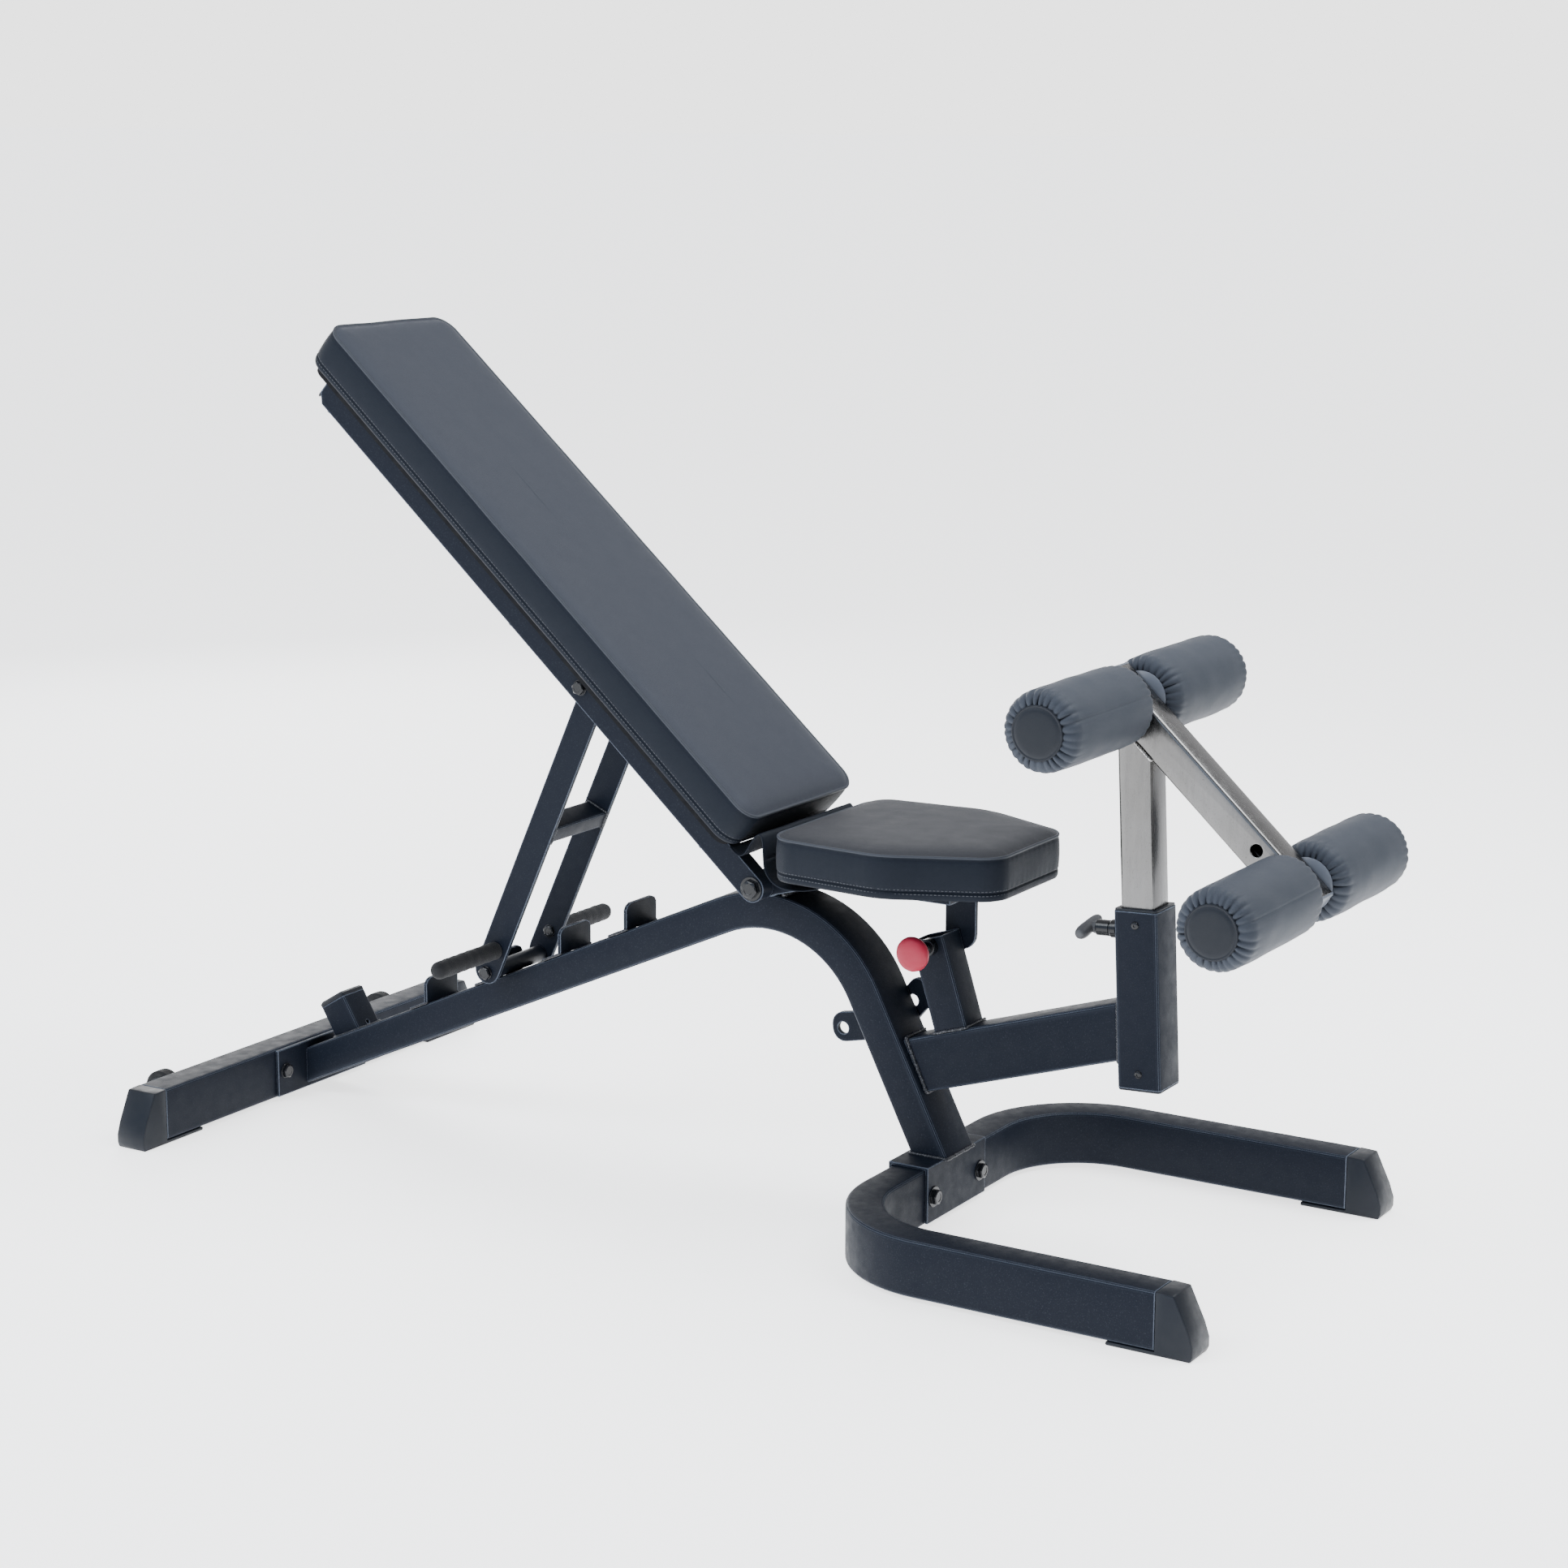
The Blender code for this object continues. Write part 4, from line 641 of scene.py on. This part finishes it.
def roller_cover(seed):
    """Profile and surface of a sleeve of vinyl over foam, gathered into pleats round the end discs."""
    length = ROLLER_OUTER - ROLLER_INNER
    profile = []
    weights = []     # per row: the share of the pleats along the roller, outwards, and their strength
    for index in range(ROLLER_END_STEPS + 1):
        share = index / ROLLER_END_STEPS
        angle = math.pi / 2 * share
        profile.append((ROLLER_END_DEPTH * (1 - math.cos(angle)),
                        ROLLER_DISC_R + (ROLLER_SHOULDER_R - ROLLER_DISC_R) * math.sin(angle)))
        weights.append((math.cos(angle), math.sin(angle), 1.0 - 0.72 * share))
    for along, weight in ((0.023, 0.17), (0.028, 0.09), (0.035, 0.03), (0.045, 0.0)):
        profile.append((along, ROLLER_SHOULDER_R + (along - ROLLER_END_DEPTH) * 0.03))
        weights.append((0.0, 1.0, weight))
    body = [(0.045 + (length - 0.09) * index / 14, ROLLER_R) for index in range(1, 14)]
    tail = [(length - along, radius) for along, radius in reversed(profile)]
    tail_weights = [(-axial, radial, weight) for axial, radial, weight in reversed(weights)]
    weights = weights + [(0.0, 1.0, 0.0)] * len(body) + tail_weights
    profile = profile + body + tail
    rng = random.Random(seed)
    phases = [rng.uniform(0, 6.28) for _ in range(3)]

    def shape(row, angle):
        axial, radial, weight = weights[row]
        bent = angle + 0.030 * math.sin(3 * angle + phases[0]) + 0.018 * math.sin(7 * angle + phases[1])
        fold = abs(math.sin(bent * PLEATS / 2)) ** 0.6 - 0.70
        depth = 1.0 + 0.35 * math.sin(5 * angle + phases[2])
        push = PLEAT_DEPTH * weight * fold * depth
        sample = (profile[row][0] * 22.0 + seed, 2.2 * math.cos(angle), 2.2 * math.sin(angle))
        slack = 0.0007 * noise.noise(Vector(sample))
        seam = -0.0011 * math.exp(-((math.degrees(angle) - SEAM_DEGREES) / 1.6) ** 2) if weight < 0.5 else 0.0
        return -axial * push, radial * (push + slack) + seam

    return profile, shape


def build_rollers():
    """Pleated covers of the four foot rollers, their embossed outer discs and their inner discs."""
    for number, (level, (x, z)) in enumerate(ROLLERS):
        for side_number, (name, side) in enumerate(SIDES):
            body = "roller_%s_%s" % (level, name)
            profile, shape = roller_cover(number * 2 + side_number)
            verts, faces = turned((x, side * ROLLER_INNER, z), (0, side, 0), profile, PLEATS * 8, shape)
            cover = add_piece(body + "_cover", verts, faces, "roller_vinyl", body, 70.0)
            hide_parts("foot_roller_%s_%s" % (level, name))
            verts, faces = turned((x, side * ROLLER_OUTER, z), (0, side, 0), OUTER_DISC, 72)
            add_piece(body + "_outer_disc", verts, faces, "black_plastic", body, 50.0)
            verts, faces = turned((x, side * ROLLER_INNER, z), (0, -side, 0), INNER_DISC, 72)
            add_piece(body + "_inner_disc", verts, faces, "plug", body, 50.0)


GRIP_XZ = (0.4154, 0.2775)
GRIP_START = 0.0693
GRIP_END = 0.2120
GRIP_R = 0.0128


def build_grips():
    """Foam sleeves pressed over the rods of the support arms, and the bolt heads inside the arms."""
    length = GRIP_END - GRIP_START
    profile = [(0.0, 0.0095), (0.0004, 0.0118), (0.0020, 0.0127)]
    for index in range(1, 24):
        along = 0.002 + (length - 0.014) * index / 24
        profile.append((along, GRIP_R + 0.00035 * math.sin(index * 1.9)))
    for index in range(1, 8):
        angle = math.pi / 2 * index / 7.3
        profile.append((length - 0.012 + 0.012 * math.sin(angle), GRIP_R * math.cos(angle) ** 0.72))
    for number, (name, side) in enumerate(SIDES):
        def shape(row, angle, number=number):
            sample = Vector((row * 0.6, 1.5 * math.cos(angle), 1.5 * math.sin(angle) + number * 7))
            return 0.0, 0.0003 * noise.noise(sample)

        verts, faces = turned((GRIP_XZ[0], side * GRIP_START, GRIP_XZ[1]), (0, side, 0), profile, 40, shape)
        grip = add_piece("arm_grip_foam_" + name, verts, faces, "grip_foam", "arms", 60.0)
        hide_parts("arm_grip_" + name)
        place = (GRIP_XZ[0], side * 0.0629, GRIP_XZ[1])
        verts, faces = hex_head(place, (0, -side, 0), 0.0080, 0.0045, 0.0100)
        add_piece("grip_bolt_" + name, verts, faces, "dark_zinc", "arms")


# ------------------------ flap between back and seat

FLAP_HALF_WIDTH = 0.1200
FLAP_THICKNESS = 0.0014
FLAP_COLUMNS = 60
FLAP_LINE = (
    (0.8470, 0.4930), (0.8530, 0.4868), (0.8620, 0.4825), (0.8707, 0.4868), (0.8793, 0.4995),
    (0.8867, 0.5100), (0.8925, 0.5144), (0.8972, 0.5112), (0.8995, 0.5004), (0.9005, 0.4805),
    (0.9030, 0.4662), (0.9110, 0.4545), (0.9230, 0.4478), (0.9400, 0.4455), (0.9600, 0.4462),
    (0.9790, 0.4500), (0.9920, 0.4546))


def smoothed(points, steps):
    """A Catmull-Rom curve through the points, with the given number of steps between two of them."""
    points = [Vector(point) for point in points]
    fine = []
    for index in range(len(points) - 1):
        p0 = points[max(index - 1, 0)]
        p1, p2 = points[index:index + 2]
        p3 = points[min(index + 2, len(points) - 1)]
        for step in range(steps):
            t = step / steps
            fine.append(0.5 * (2 * p1 + (p2 - p0) * t + (2 * p0 - 5 * p1 + 4 * p2 - p3) * t * t
                               + (3 * p1 - p0 - 3 * p2 + p3) * t ** 3))
    fine.append(points[-1])
    return fine


def build_flap():
    """The flap's line in x and z, cut behind the seat into two sheets."""
    fine = smoothed(FLAP_LINE, 3)
    joint_row = next(row for row, flat in enumerate(fine) if flat.x > 0.8990 and flat.y < 0.4830)
    upper = flap_sheet("back_flap_vinyl", fine[:joint_row + 1])
    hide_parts("back_flap")
    flap_sheet("seat_flap_vinyl", fine[joint_row:])


def flap_sheet(name, line):
    """A stretch of the flap along the given line, made into a thin sheet."""
    verts = []
    for row, flat in enumerate(line):
        fade = math.sin(math.pi * row / (len(line) - 1))
        for column in range(FLAP_COLUMNS + 1):
            y = FLAP_HALF_WIDTH * (2 * column / FLAP_COLUMNS - 1)
            ripple = 0.0011 * fade * noise.noise(Vector((flat.x * 40, y * 22, 3.0)))
            verts.append(Vector((flat.x, y, flat.y + ripple)))
    faces = []
    wide = FLAP_COLUMNS + 1
    for row in range(len(line) - 1):
        for column in range(FLAP_COLUMNS):
            base = row * wide + column
            faces.append((base, base + 1, base + wide + 1, base + wide))
    # the flap takes the darker copy of the vinyl: painted shade
    flap = add_piece(name, verts, faces, "side_vinyl_shaded", None, 60.0)
    thick = flap.modifiers.new("thickness", "SOLIDIFY")
    thick.thickness = FLAP_THICKNESS
    thick.offset = 0.0
    bpy.context.view_layer.update()
    depsgraph = bpy.context.evaluated_depsgraph_get()
    flap.data = bpy.data.meshes.new_from_object(flap.evaluated_get(depsgraph))
    flap.modifiers.clear()
    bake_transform(flap)
    return flap


# ------------------------ fasteners

HEX_POINTS = 24
HEX_TURN = 0.3
# name, body, place, direction, half width across flats, height, washer radius; there is one on each side
HEX_HEADS = (
    ("stabilizer_hex_", "frame", (0.0326, 0.0870, 0.0400), (1, 0, 0), 0.0092, 0.0064, 0.0112),
    ("saddle_hex_front_", "frame", (1.1380, 0.0650, 0.0370), (1, 0, 0), 0.0094, 0.0066, 0.0142),
    ("saddle_hex_rear_", "frame", (1.0736, 0.0650, 0.0370), (-1, 0, 0), 0.0094, 0.0066, 0.0142),
    ("pivot_hex_", "frame", (PIVOT.x, 0.0979, PIVOT.z), (0, 1, 0), 0.0114, 0.0066, 0.0165),
    ("arm_hex_", "back", (0.5876, 0.0979, 0.6815), (0, 1, 0), 0.0086, 0.0063, 0.0112),
    ("axle_hex_", "arms", (0.3983, 0.0709, 0.2416), (0, 1, 0), 0.0086, 0.0064, 0.0098))
PAD_BOLT_ROWS = (-0.3665, 0.0555, 0.4770)
SLEEVE_SCREWS = ((1.4061, 0.4403), (1.4160, 0.2432))
SCREW_DOME = ((-0.001, 0.0054), (0.0006, 0.0054), (0.0018, 0.0046), (0.0024, 0.0030), (0.0024, 0.0018),
              (0.0012, 0.0015), (0.0011, 0.0004))


def hex_head(origin, direction, apothem, height, washer_r):
    """A hexagon head with chamfered corners, and the washer under it."""
    origin = Vector(origin)
    direction = Vector(direction).normalized()
    first, second = across(direction)
    verts = []
    levels = ((-0.0002, 1.0), (height * 0.82, 1.0), (height, 0.88), (height, 0.62), (height * 0.90, 0.55))
    for along, scale in levels:
        for index in range(HEX_POINTS):
            angle = 2 * math.pi * index / HEX_POINTS
            local = ((angle + math.pi / 6) % (math.pi / 3)) - math.pi / 6
            radius = apothem / math.cos(local) * scale
            if scale < 1.0:
                radius = min(radius, apothem * scale * 1.02)
            out = first * math.cos(angle + HEX_TURN) + second * math.sin(angle + HEX_TURN)
            verts.append(origin + direction * along + out * radius)
    washer = ((-0.0019, washer_r * 0.97), (-0.0015, washer_r), (-0.0004, washer_r), (0.0, washer_r * 0.96),
              (0.0001, apothem * 0.8))
    return merge([(verts, ring_faces(len(levels), HEX_POINTS)), turned(origin, direction, washer)])


def build_fasteners():
    """Bolt heads and nuts, the pads' bolts in the rails, and the small screws of the sleeve."""
    heads = []
    under = (-PAD_NORMAL.x, 0, -PAD_NORMAL.y)
    for name, side in SIDES:
        for label, body, place, direction, *size in HEX_HEADS:
            heads.append((label + name, body, mirrored(place, side), mirrored(direction, side), size))
        for number, s in enumerate(PAD_BOLT_ROWS, 1):
            x, z = pad_xz(s, -0.1185)
            heads.append(("pad_bolt_%d_%s" % (number, name), "back", (x, side * 0.0830, z), under,
                          (0.0060, 0.0052, 0.0090)))
    for name, body, place, direction, size in heads:
        verts, faces = hex_head(place, direction, *size)
        add_piece(name, verts, faces, "dark_zinc", body, 30.0)
    for number, (x, z) in enumerate(SLEEVE_SCREWS, 1):
        for name, side in SIDES:
            label = "sleeve_screw_%d_%s" % (number, name)
            verts, faces = turned((x, side * 0.0306, z), (0, side, 0), SCREW_DOME, 32)
            add_piece(label, verts, faces, "dark_zinc", "frame", 30.0)


SLEEVE_AXIS = (-0.0506, 0.0, 0.9987)
SLEEVE_LOW = (1.417206, 0.0, 0.222906)
SEAT_KNOB = (1.1050, -0.0830, 0.3700)
KNOB_PROFILE = (
    (-0.0010, 0.0010), (-0.0008, 0.0090), (0.0004, 0.0160), (0.0026, 0.0208), (0.0058, 0.0232),
    (0.0092, 0.0237), (0.0124, 0.0228), (0.0152, 0.0202), (0.0180, 0.0165), (0.0212, 0.0134),
    (0.0250, 0.0119), (0.0290, 0.0114), (0.0292, 0.0080))
STEM_PROFILE = (
    (0.0285, 0.0060), (0.0285, 0.0086), (0.0440, 0.0086), (0.0445, 0.0112), (0.0450, 0.0118),
    (0.0565, 0.0118), (0.0572, 0.0112), (0.0573, 0.0050), (0.0780, 0.0050), (0.0805, 0.0035))
HANDLE_START = (1.3260, 0.0, 0.4223)
HANDLE_AXIS = (SLEEVE_AXIS[2], 0.0, -SLEEVE_AXIS[0])
HANDLE_BAR = (0, 0.985, 0.174)
HANDLE_REACH = 0.0310
HANDLE_STEPS = 32
COLLAR_PROFILE = ((0.0, 0.0066), (0.006, 0.0074), (0.010, 0.0084), (0.0135, 0.0088), (0.0138, 0.0060))
BARREL_PROFILE = (
    (0.0130, 0.0060), (0.0130, 0.0100), (0.0137, 0.0106), (0.0312, 0.0106), (0.0320, 0.0098),
    (0.0334, 0.0098), (0.0336, 0.0114), (0.0344, 0.0120), (0.0420, 0.0120), (0.0428, 0.0114),
    (0.0430, 0.0088), (0.0520, 0.0088), (0.0522, 0.0050))


def build_pins():
    """Mushroom knob of the seat pin and the T-handled pin behind the sleeve."""
    verts, faces = turned(SEAT_KNOB, (0, 1, 0), KNOB_PROFILE, 64)
    knob = add_piece("seat_pin_knob", verts, faces, "red_plastic", "seat_lock", 50.0)
    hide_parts("seat_pin")
    verts, faces = turned(SEAT_KNOB, (0, 1, 0), STEM_PROFILE, 48)
    add_piece("seat_pin_stem", verts, faces, "dark_zinc", "seat_lock", 30.0)

    bar = []
    for index in range(HANDLE_STEPS + 1):
        angle = math.pi * index / HANDLE_STEPS
        along = -math.cos(angle)
        radius = (0.0098 - 0.0010 * along) * math.sin(angle) ** 0.55 - 0.0012 * math.sin(angle) ** 6
        bar.append((along * HANDLE_REACH, max(radius, 0.0006)))
    verts, faces = merge([turned(HANDLE_START, HANDLE_BAR, bar, 36),
                          turned(HANDLE_START, HANDLE_AXIS, COLLAR_PROFILE, 36)])
    handle = add_piece("hold_down_pin_handle", verts, faces, "grey_plastic", "hold_down_lock",
                       50.0)
    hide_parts("hold_down_pin")
    verts, faces = turned(HANDLE_START, HANDLE_AXIS, BARREL_PROFILE, 48)
    add_piece("hold_down_pin_barrel", verts, faces, "dark_zinc", "hold_down_lock", 30.0)


# ------------------------ plugs, lips and wheels

# profiles of (along, half size)
TUBE_PLUG = ((-0.0100, 0.0208), (0.0003, 0.0210), (0.0003, 0.0236), (0.0022, 0.0234), (0.0036, 0.0220),
             (0.0042, 0.0180), (0.0044, 0.0060))
SLEEVE_LIP = ((-0.0100, 0.0272), (0.0003, 0.0274), (0.0003, 0.0300), (0.0020, 0.0300), (0.0030, 0.0290),
              (0.0031, 0.0200))
RAIL_PLUG = ((-0.006, 0.0098), (0.0003, 0.0098), (0.0003, 0.0112), (0.0016, 0.0108))
WHEEL_HUB = ((-0.0006, 0.0180), (0.0004, 0.0200), (0.0010, 0.0196), (0.0012, 0.0120), (0.0018, 0.0110),
             (0.0018, 0.0090))
PLUG_CORNER_STEPS = 4


def square_lofts(origin, direction, levels, corner=0.004):
    """A rounded square lofted along a direction; levels are (along, half size)."""
    origin = Vector(origin)
    direction = Vector(direction).normalized()
    side = Vector((0, 1, 0))
    up = direction.cross(side)
    verts = []
    for along, half in levels:
        radius = min(corner, half * 0.9)
        for quarter, (side_sign, up_sign) in enumerate(((1, 1), (-1, 1), (-1, -1), (1, -1))):
            for step in range(PLUG_CORNER_STEPS + 1):
                angle = math.pi / 2 * (quarter + step / PLUG_CORNER_STEPS)
                a = side_sign * (half - radius) + radius * math.cos(angle)
                b = up_sign * (half - radius) + radius * math.sin(angle)
                verts.append(origin + direction * along + side * a + up * b)
    return verts, ring_faces(len(levels), 4 * (PLUG_CORNER_STEPS + 1))


def build_trim():
    """Plastic plugs and lips of the open tube ends, and the wheels' hub caps."""
    upper, lower = (Vector((x, 0.0, z)) for _, (x, z) in ROLLERS)
    along = (lower - upper).normalized()
    for name, origin, direction in (("upper", upper - along * 0.0400, -along),
                                    ("lower", lower + along * 0.0300, along)):
        verts, faces = square_lofts(origin, direction, TUBE_PLUG)
        add_piece("diagonal_plug_" + name, verts, faces, "plug", "hold_down", 40.0)
    verts, faces = square_lofts(SLEEVE_LOW, -Vector(SLEEVE_AXIS), SLEEVE_LIP)
    add_piece("sleeve_bottom_lip", verts, faces, "black_plastic", "frame", 40.0)
    x, z = pad_xz(-0.3900, -0.0989)
    stretch = Vector((PAD_NORMAL.x, 0, PAD_NORMAL.y))
    for name, side in SIDES:
        centre = Vector((x, side * 0.0833, z))
        verts, faces = square_lofts(centre, (-PAD_DIR.x, 0, -PAD_DIR.y), RAIL_PLUG, 0.003)
        verts = [vert + stretch * ((vert - centre).dot(stretch) * 0.5) for vert in verts]
        add_piece("rail_plug_" + name, verts, faces, "black_plastic", "back", 40.0)
        verts, faces = turned((-0.0600, side * 0.2650, 0.0400), (0, side, 0), WHEEL_HUB)
        add_piece("wheel_hub_" + name, verts, faces, "black_plastic", "wheel_" + name, 40.0)


# ------------------------ welds

BEAD_STEP = 0.0014


def weld(name, points, radius, body, look="weld", closed=False):
    """A rippled bead along a path."""
    points = [Vector(p) for p in points]
    if closed:
        points.append(points[0])
    fine = []
    for before, after in zip(points, points[1:]):
        count = max(int((after - before).length / BEAD_STEP), 1)
        fine.extend(before.lerp(after, step / count) for step in range(count))
    if not closed:
        fine.append(points[-1])
    verts = []
    total = len(fine)
    for index, point in enumerate(fine):
        before = fine[index - 1] if closed or index else fine[0]
        after = fine[(index + 1) % total] if closed or index < total - 1 else fine[-1]
        along = (after - before).normalized()
        first, second = across(along)
        swell = 1.0 + 0.20 * math.sin(index * 2.2) + 0.35 * noise.noise(point * 160.0)
        if not closed:
            swell *= min(1.0, 0.35 + 0.3 * min(index, total - 1 - index))
        for corner in range(8):
            angle = math.pi * corner / 4
            out = first * math.cos(angle) + second * math.sin(angle)
            verts.append(point + out * (radius * swell))
    faces = ring_faces(total, 8, closed=closed)
    add_piece(name, verts, faces, look, body, 80.0)


def rail_top(x):
    """Height of the sloping rail's upper face."""
    return 0.0327 + (x - 0.0244) * 0.4473 + 0.02783


def round_tube(rear, front, half):
    """Corners of a bead round a tube, from its rear and front edges at (x, z) and its half width."""
    return [(rear[0], -half, rear[1]), (front[0], -half, front[1]),
            (front[0], half, front[1]), (rear[0], half, rear[1])]


LADDER_FRONTS = (0.2640, 0.3845, 0.5075, 0.6220)
LADDER_DEPTH = 0.0325
# name, rear edge, front edge, half width, bead radius
TUBE_WELDS = (
    ("rest_post_weld", (0.0765, rail_top(0.0765)), (0.1242, rail_top(0.1242)), 0.0258, 0.0018),
    ("leg_weld", (1.0838, 0.0816), (1.1412, 0.0816), 0.0385, 0.0022),
    ("beam_leg_weld", (1.0690, 0.2372), (1.1020, 0.1660), 0.0260, 0.0026),
    ("beam_sleeve_weld", (1.3815, 0.3325), (1.3850, 0.2535), 0.0258, 0.0022),
    ("seat_post_weld", (1.1118, 0.2502), (1.1610, 0.2656), 0.0258, 0.0020))


def build_welds():
    """Beads of the ladder plates, of the tubes' joints, of the pivot tube and of the box brace."""
    for number, front in enumerate(LADDER_FRONTS, 1):
        for name, side in SIDES:
            path = [(x, side * 0.0374, rail_top(x) + 0.0012)
                    for x in (front + 0.0015, front - 0.0150, front - LADDER_DEPTH)]
            weld("ladder_weld_%d_%s" % (number, name), path, 0.0017, "frame")
        rear = front - LADDER_DEPTH
        path = [(rear, y, rail_top(rear) + 0.0012) for y in (-0.034, 0.0, 0.034)]
        weld("ladder_weld_%d_rear" % number, path, 0.0016, "frame")
    for name, rear, front, half, radius in TUBE_WELDS:
        weld(name, round_tube(rear, front, half), radius, "frame", closed=True)
    for name, x, z in (("rear", 0.8530, 0.4150), ("front", 0.8800, 0.4130)):
        weld("pivot_weld_" + name, [(x, y, z) for y in (-0.036, 0.0, 0.036)], 0.0040, "frame")
    path = round_tube((1.3702, 0.7006), (1.4182, 0.6570), 0.0238)
    weld("hold_down_weld", path, 0.0021, "hold_down", "bright_weld", closed=True)
    # the box brace in x and z: its centre, the arms' direction, and the direction square to them
    centre = Vector((0.4987, 0.4637))
    arm = Vector((-0.4100, -0.9121))
    square = Vector((-arm.y, arm.x))
    for name, side in SIDES:
        path = []
        for a, b in ((-1, -1), (1, -1), (1, 1), (-1, 1)):
            flat = centre + arm * (a * 0.0125) + square * (b * 0.0185)
            path.append((flat.x, side * 0.0620, flat.y))
        weld("brace_weld_" + name, path, 0.0018, "arms", closed=True)


# ------------------------ CAD solids that stay visible

JOIN_DISTANCE = 0.00001
CORNER_DEGREES = 32.0


def paint_nodes():
    """Each CAD solid gets the material of its slot, smooth rounds and crisp corners."""
    looks = {part["node"]: part["material_slot"] for part in frame["record"]["subparts"]}
    for name, obj in frame["nodes"].items():
        obj.data.materials.clear()
        obj.data.materials.append(MATS[looks[name]])
        obj.data.shade_smooth()
        obj.modifiers.new("join", "WELD").merge_threshold = JOIN_DISTANCE
        obj.modifiers.new("corners", "EDGE_SPLIT").split_angle = math.radians(CORNER_DEGREES)


# ------------------------ stage, light and camera

def area_light(name, place, aim, size, power, colour):
    data = bpy.data.lights.new(name, "AREA")
    data.shape = "RECTANGLE"
    data.size, data.size_y = size
    data.energy = power
    data.color = colour
    obj = bpy.data.objects.new(name, data)
    bpy.context.collection.objects.link(obj)
    obj.location = place
    obj.rotation_euler = (Vector(aim) - Vector(place)).to_track_quat("-Z", "Y").to_euler()


FLOOR_HALF_SIZE = 150.0
WORLD_BASE = (2.75, 2.75, 2.75)
# direction, cosines where its tone starts and is full, tone: overhead, the bench's right, its front end
WORLD_TONES = (
    ((0.0, 0.0, 1.0), 0.06, 0.24, (0.95, 0.95, 0.98)),
    ((0.0, -1.0, 0.0), 0.10, 0.85, (0.95, 1.15, 1.48)),
    ((1.0, 0.0, 0.0), 0.05, 0.60, (0.36, 0.36, 0.36)))
# name, place, aim, size, watts, colour
LAMPS = (
    ("key", (-1.5, -2.6, 3.6), (0.0, 0.0, 0.4), (2.6, 2.0), 120.0, (0.92, 0.96, 1.0)),
    ("side", (3.6, -3.2, 1.4), (0.2, 0.0, 0.4), (2.4, 1.8), 3.0, (0.90, 0.95, 1.0)),
    ("top", (1.8, 1.1, 3.7), (0.0, 0.0, 0.6), (2.4, 2.4), 190.0, (0.94, 0.97, 1.0)),
    ("rim", (-3.2, 2.6, 2.0), (0.0, 0.0, 0.5), (1.6, 2.0), 60.0, (1.0, 1.0, 1.0)))


def build_stage():
    """A pale floor, a studio world that is darker overhead and in front, and soft lamps."""
    size = FLOOR_HALF_SIZE
    mesh = bpy.data.meshes.new("floor")
    corners = [(-size, -size, 0), (size, -size, 0), (size, size, 0), (-size, size, 0)]
    mesh.from_pydata(corners, [], [(0, 1, 2, 3)])
    mesh.materials.append(MATS["floor"])
    floor = bpy.data.objects.new("floor", mesh)
    bpy.context.collection.objects.link(floor)
    world = bpy.data.worlds.new("studio")
    bpy.context.scene.world = world
    world.use_nodes = True
    tree = world.node_tree
    background = tree.nodes["Background"]
    coords = tree.nodes.new("ShaderNodeTexCoord")
    colour = None
    for direction, low, high, tone in WORLD_TONES:
        facing = tree.nodes.new("ShaderNodeVectorMath")
        facing.operation = "DOT_PRODUCT"
        facing.inputs[1].default_value = direction
        tree.links.new(coords.outputs["Generated"], facing.inputs[0])
        share = tree.nodes.new("ShaderNodeMapRange")
        share.interpolation_type = "SMOOTHSTEP"
        share.inputs["From Min"].default_value = low
        share.inputs["From Max"].default_value = high
        tree.links.new(facing.outputs["Value"], share.inputs["Value"])
        mix = tree.nodes.new("ShaderNodeMix")
        mix.data_type = "RGBA"
        mix.inputs[6].default_value = (*WORLD_BASE, 1.0)
        mix.inputs[7].default_value = (*tone, 1.0)
        if colour is not None:
            tree.links.new(colour, mix.inputs[6])
        tree.links.new(share.outputs["Result"], mix.inputs[0])
        colour = mix.outputs[2]
    tree.links.new(colour, background.inputs["Color"])
    background.inputs["Strength"].default_value = 1.0
    for lamp in LAMPS:
        area_light(*lamp)


SENSOR_MM = 36.0
LENS_MM = 74.4907
CAMERA_PLACE = (3.1350, -3.7007, 1.4665)
CAMERA_DEGREES = (31.5955, 11.796, 0.1795)


def build_camera():
    """The photo's camera: place in the bench frame, and azimuth, elevation and roll."""
    azimuth, elevation, roll = (math.radians(angle) for angle in CAMERA_DEGREES)
    back = Vector((math.sin(azimuth) * math.cos(elevation), -math.cos(azimuth) * math.cos(elevation),
                   math.sin(elevation)))
    right = Vector((0, 0, 1)).cross(back).normalized()
    up = back.cross(right)
    turned_right = right * math.cos(roll) + up * math.sin(roll)
    turned_up = up * math.cos(roll) - right * math.sin(roll)
    data = bpy.data.cameras.new("photo_view")
    data.sensor_width = SENSOR_MM
    data.lens = LENS_MM
    camera = bpy.data.objects.new("photo_view", data)
    bpy.context.collection.objects.link(camera)
    place = Vector(CAMERA_PLACE) + SHIFT
    axes = Matrix((turned_right, turned_up, back)).transposed()
    camera.matrix_world = Matrix.Translation(place) @ axes.to_4x4()
    bpy.context.scene.camera = camera


paint_nodes()
build_pads()
build_rollers()
build_grips()
build_flap()
build_fasteners()
build_pins()
build_trim()
build_welds()
build_stage()
build_camera()

bpy.context.view_layer.update()
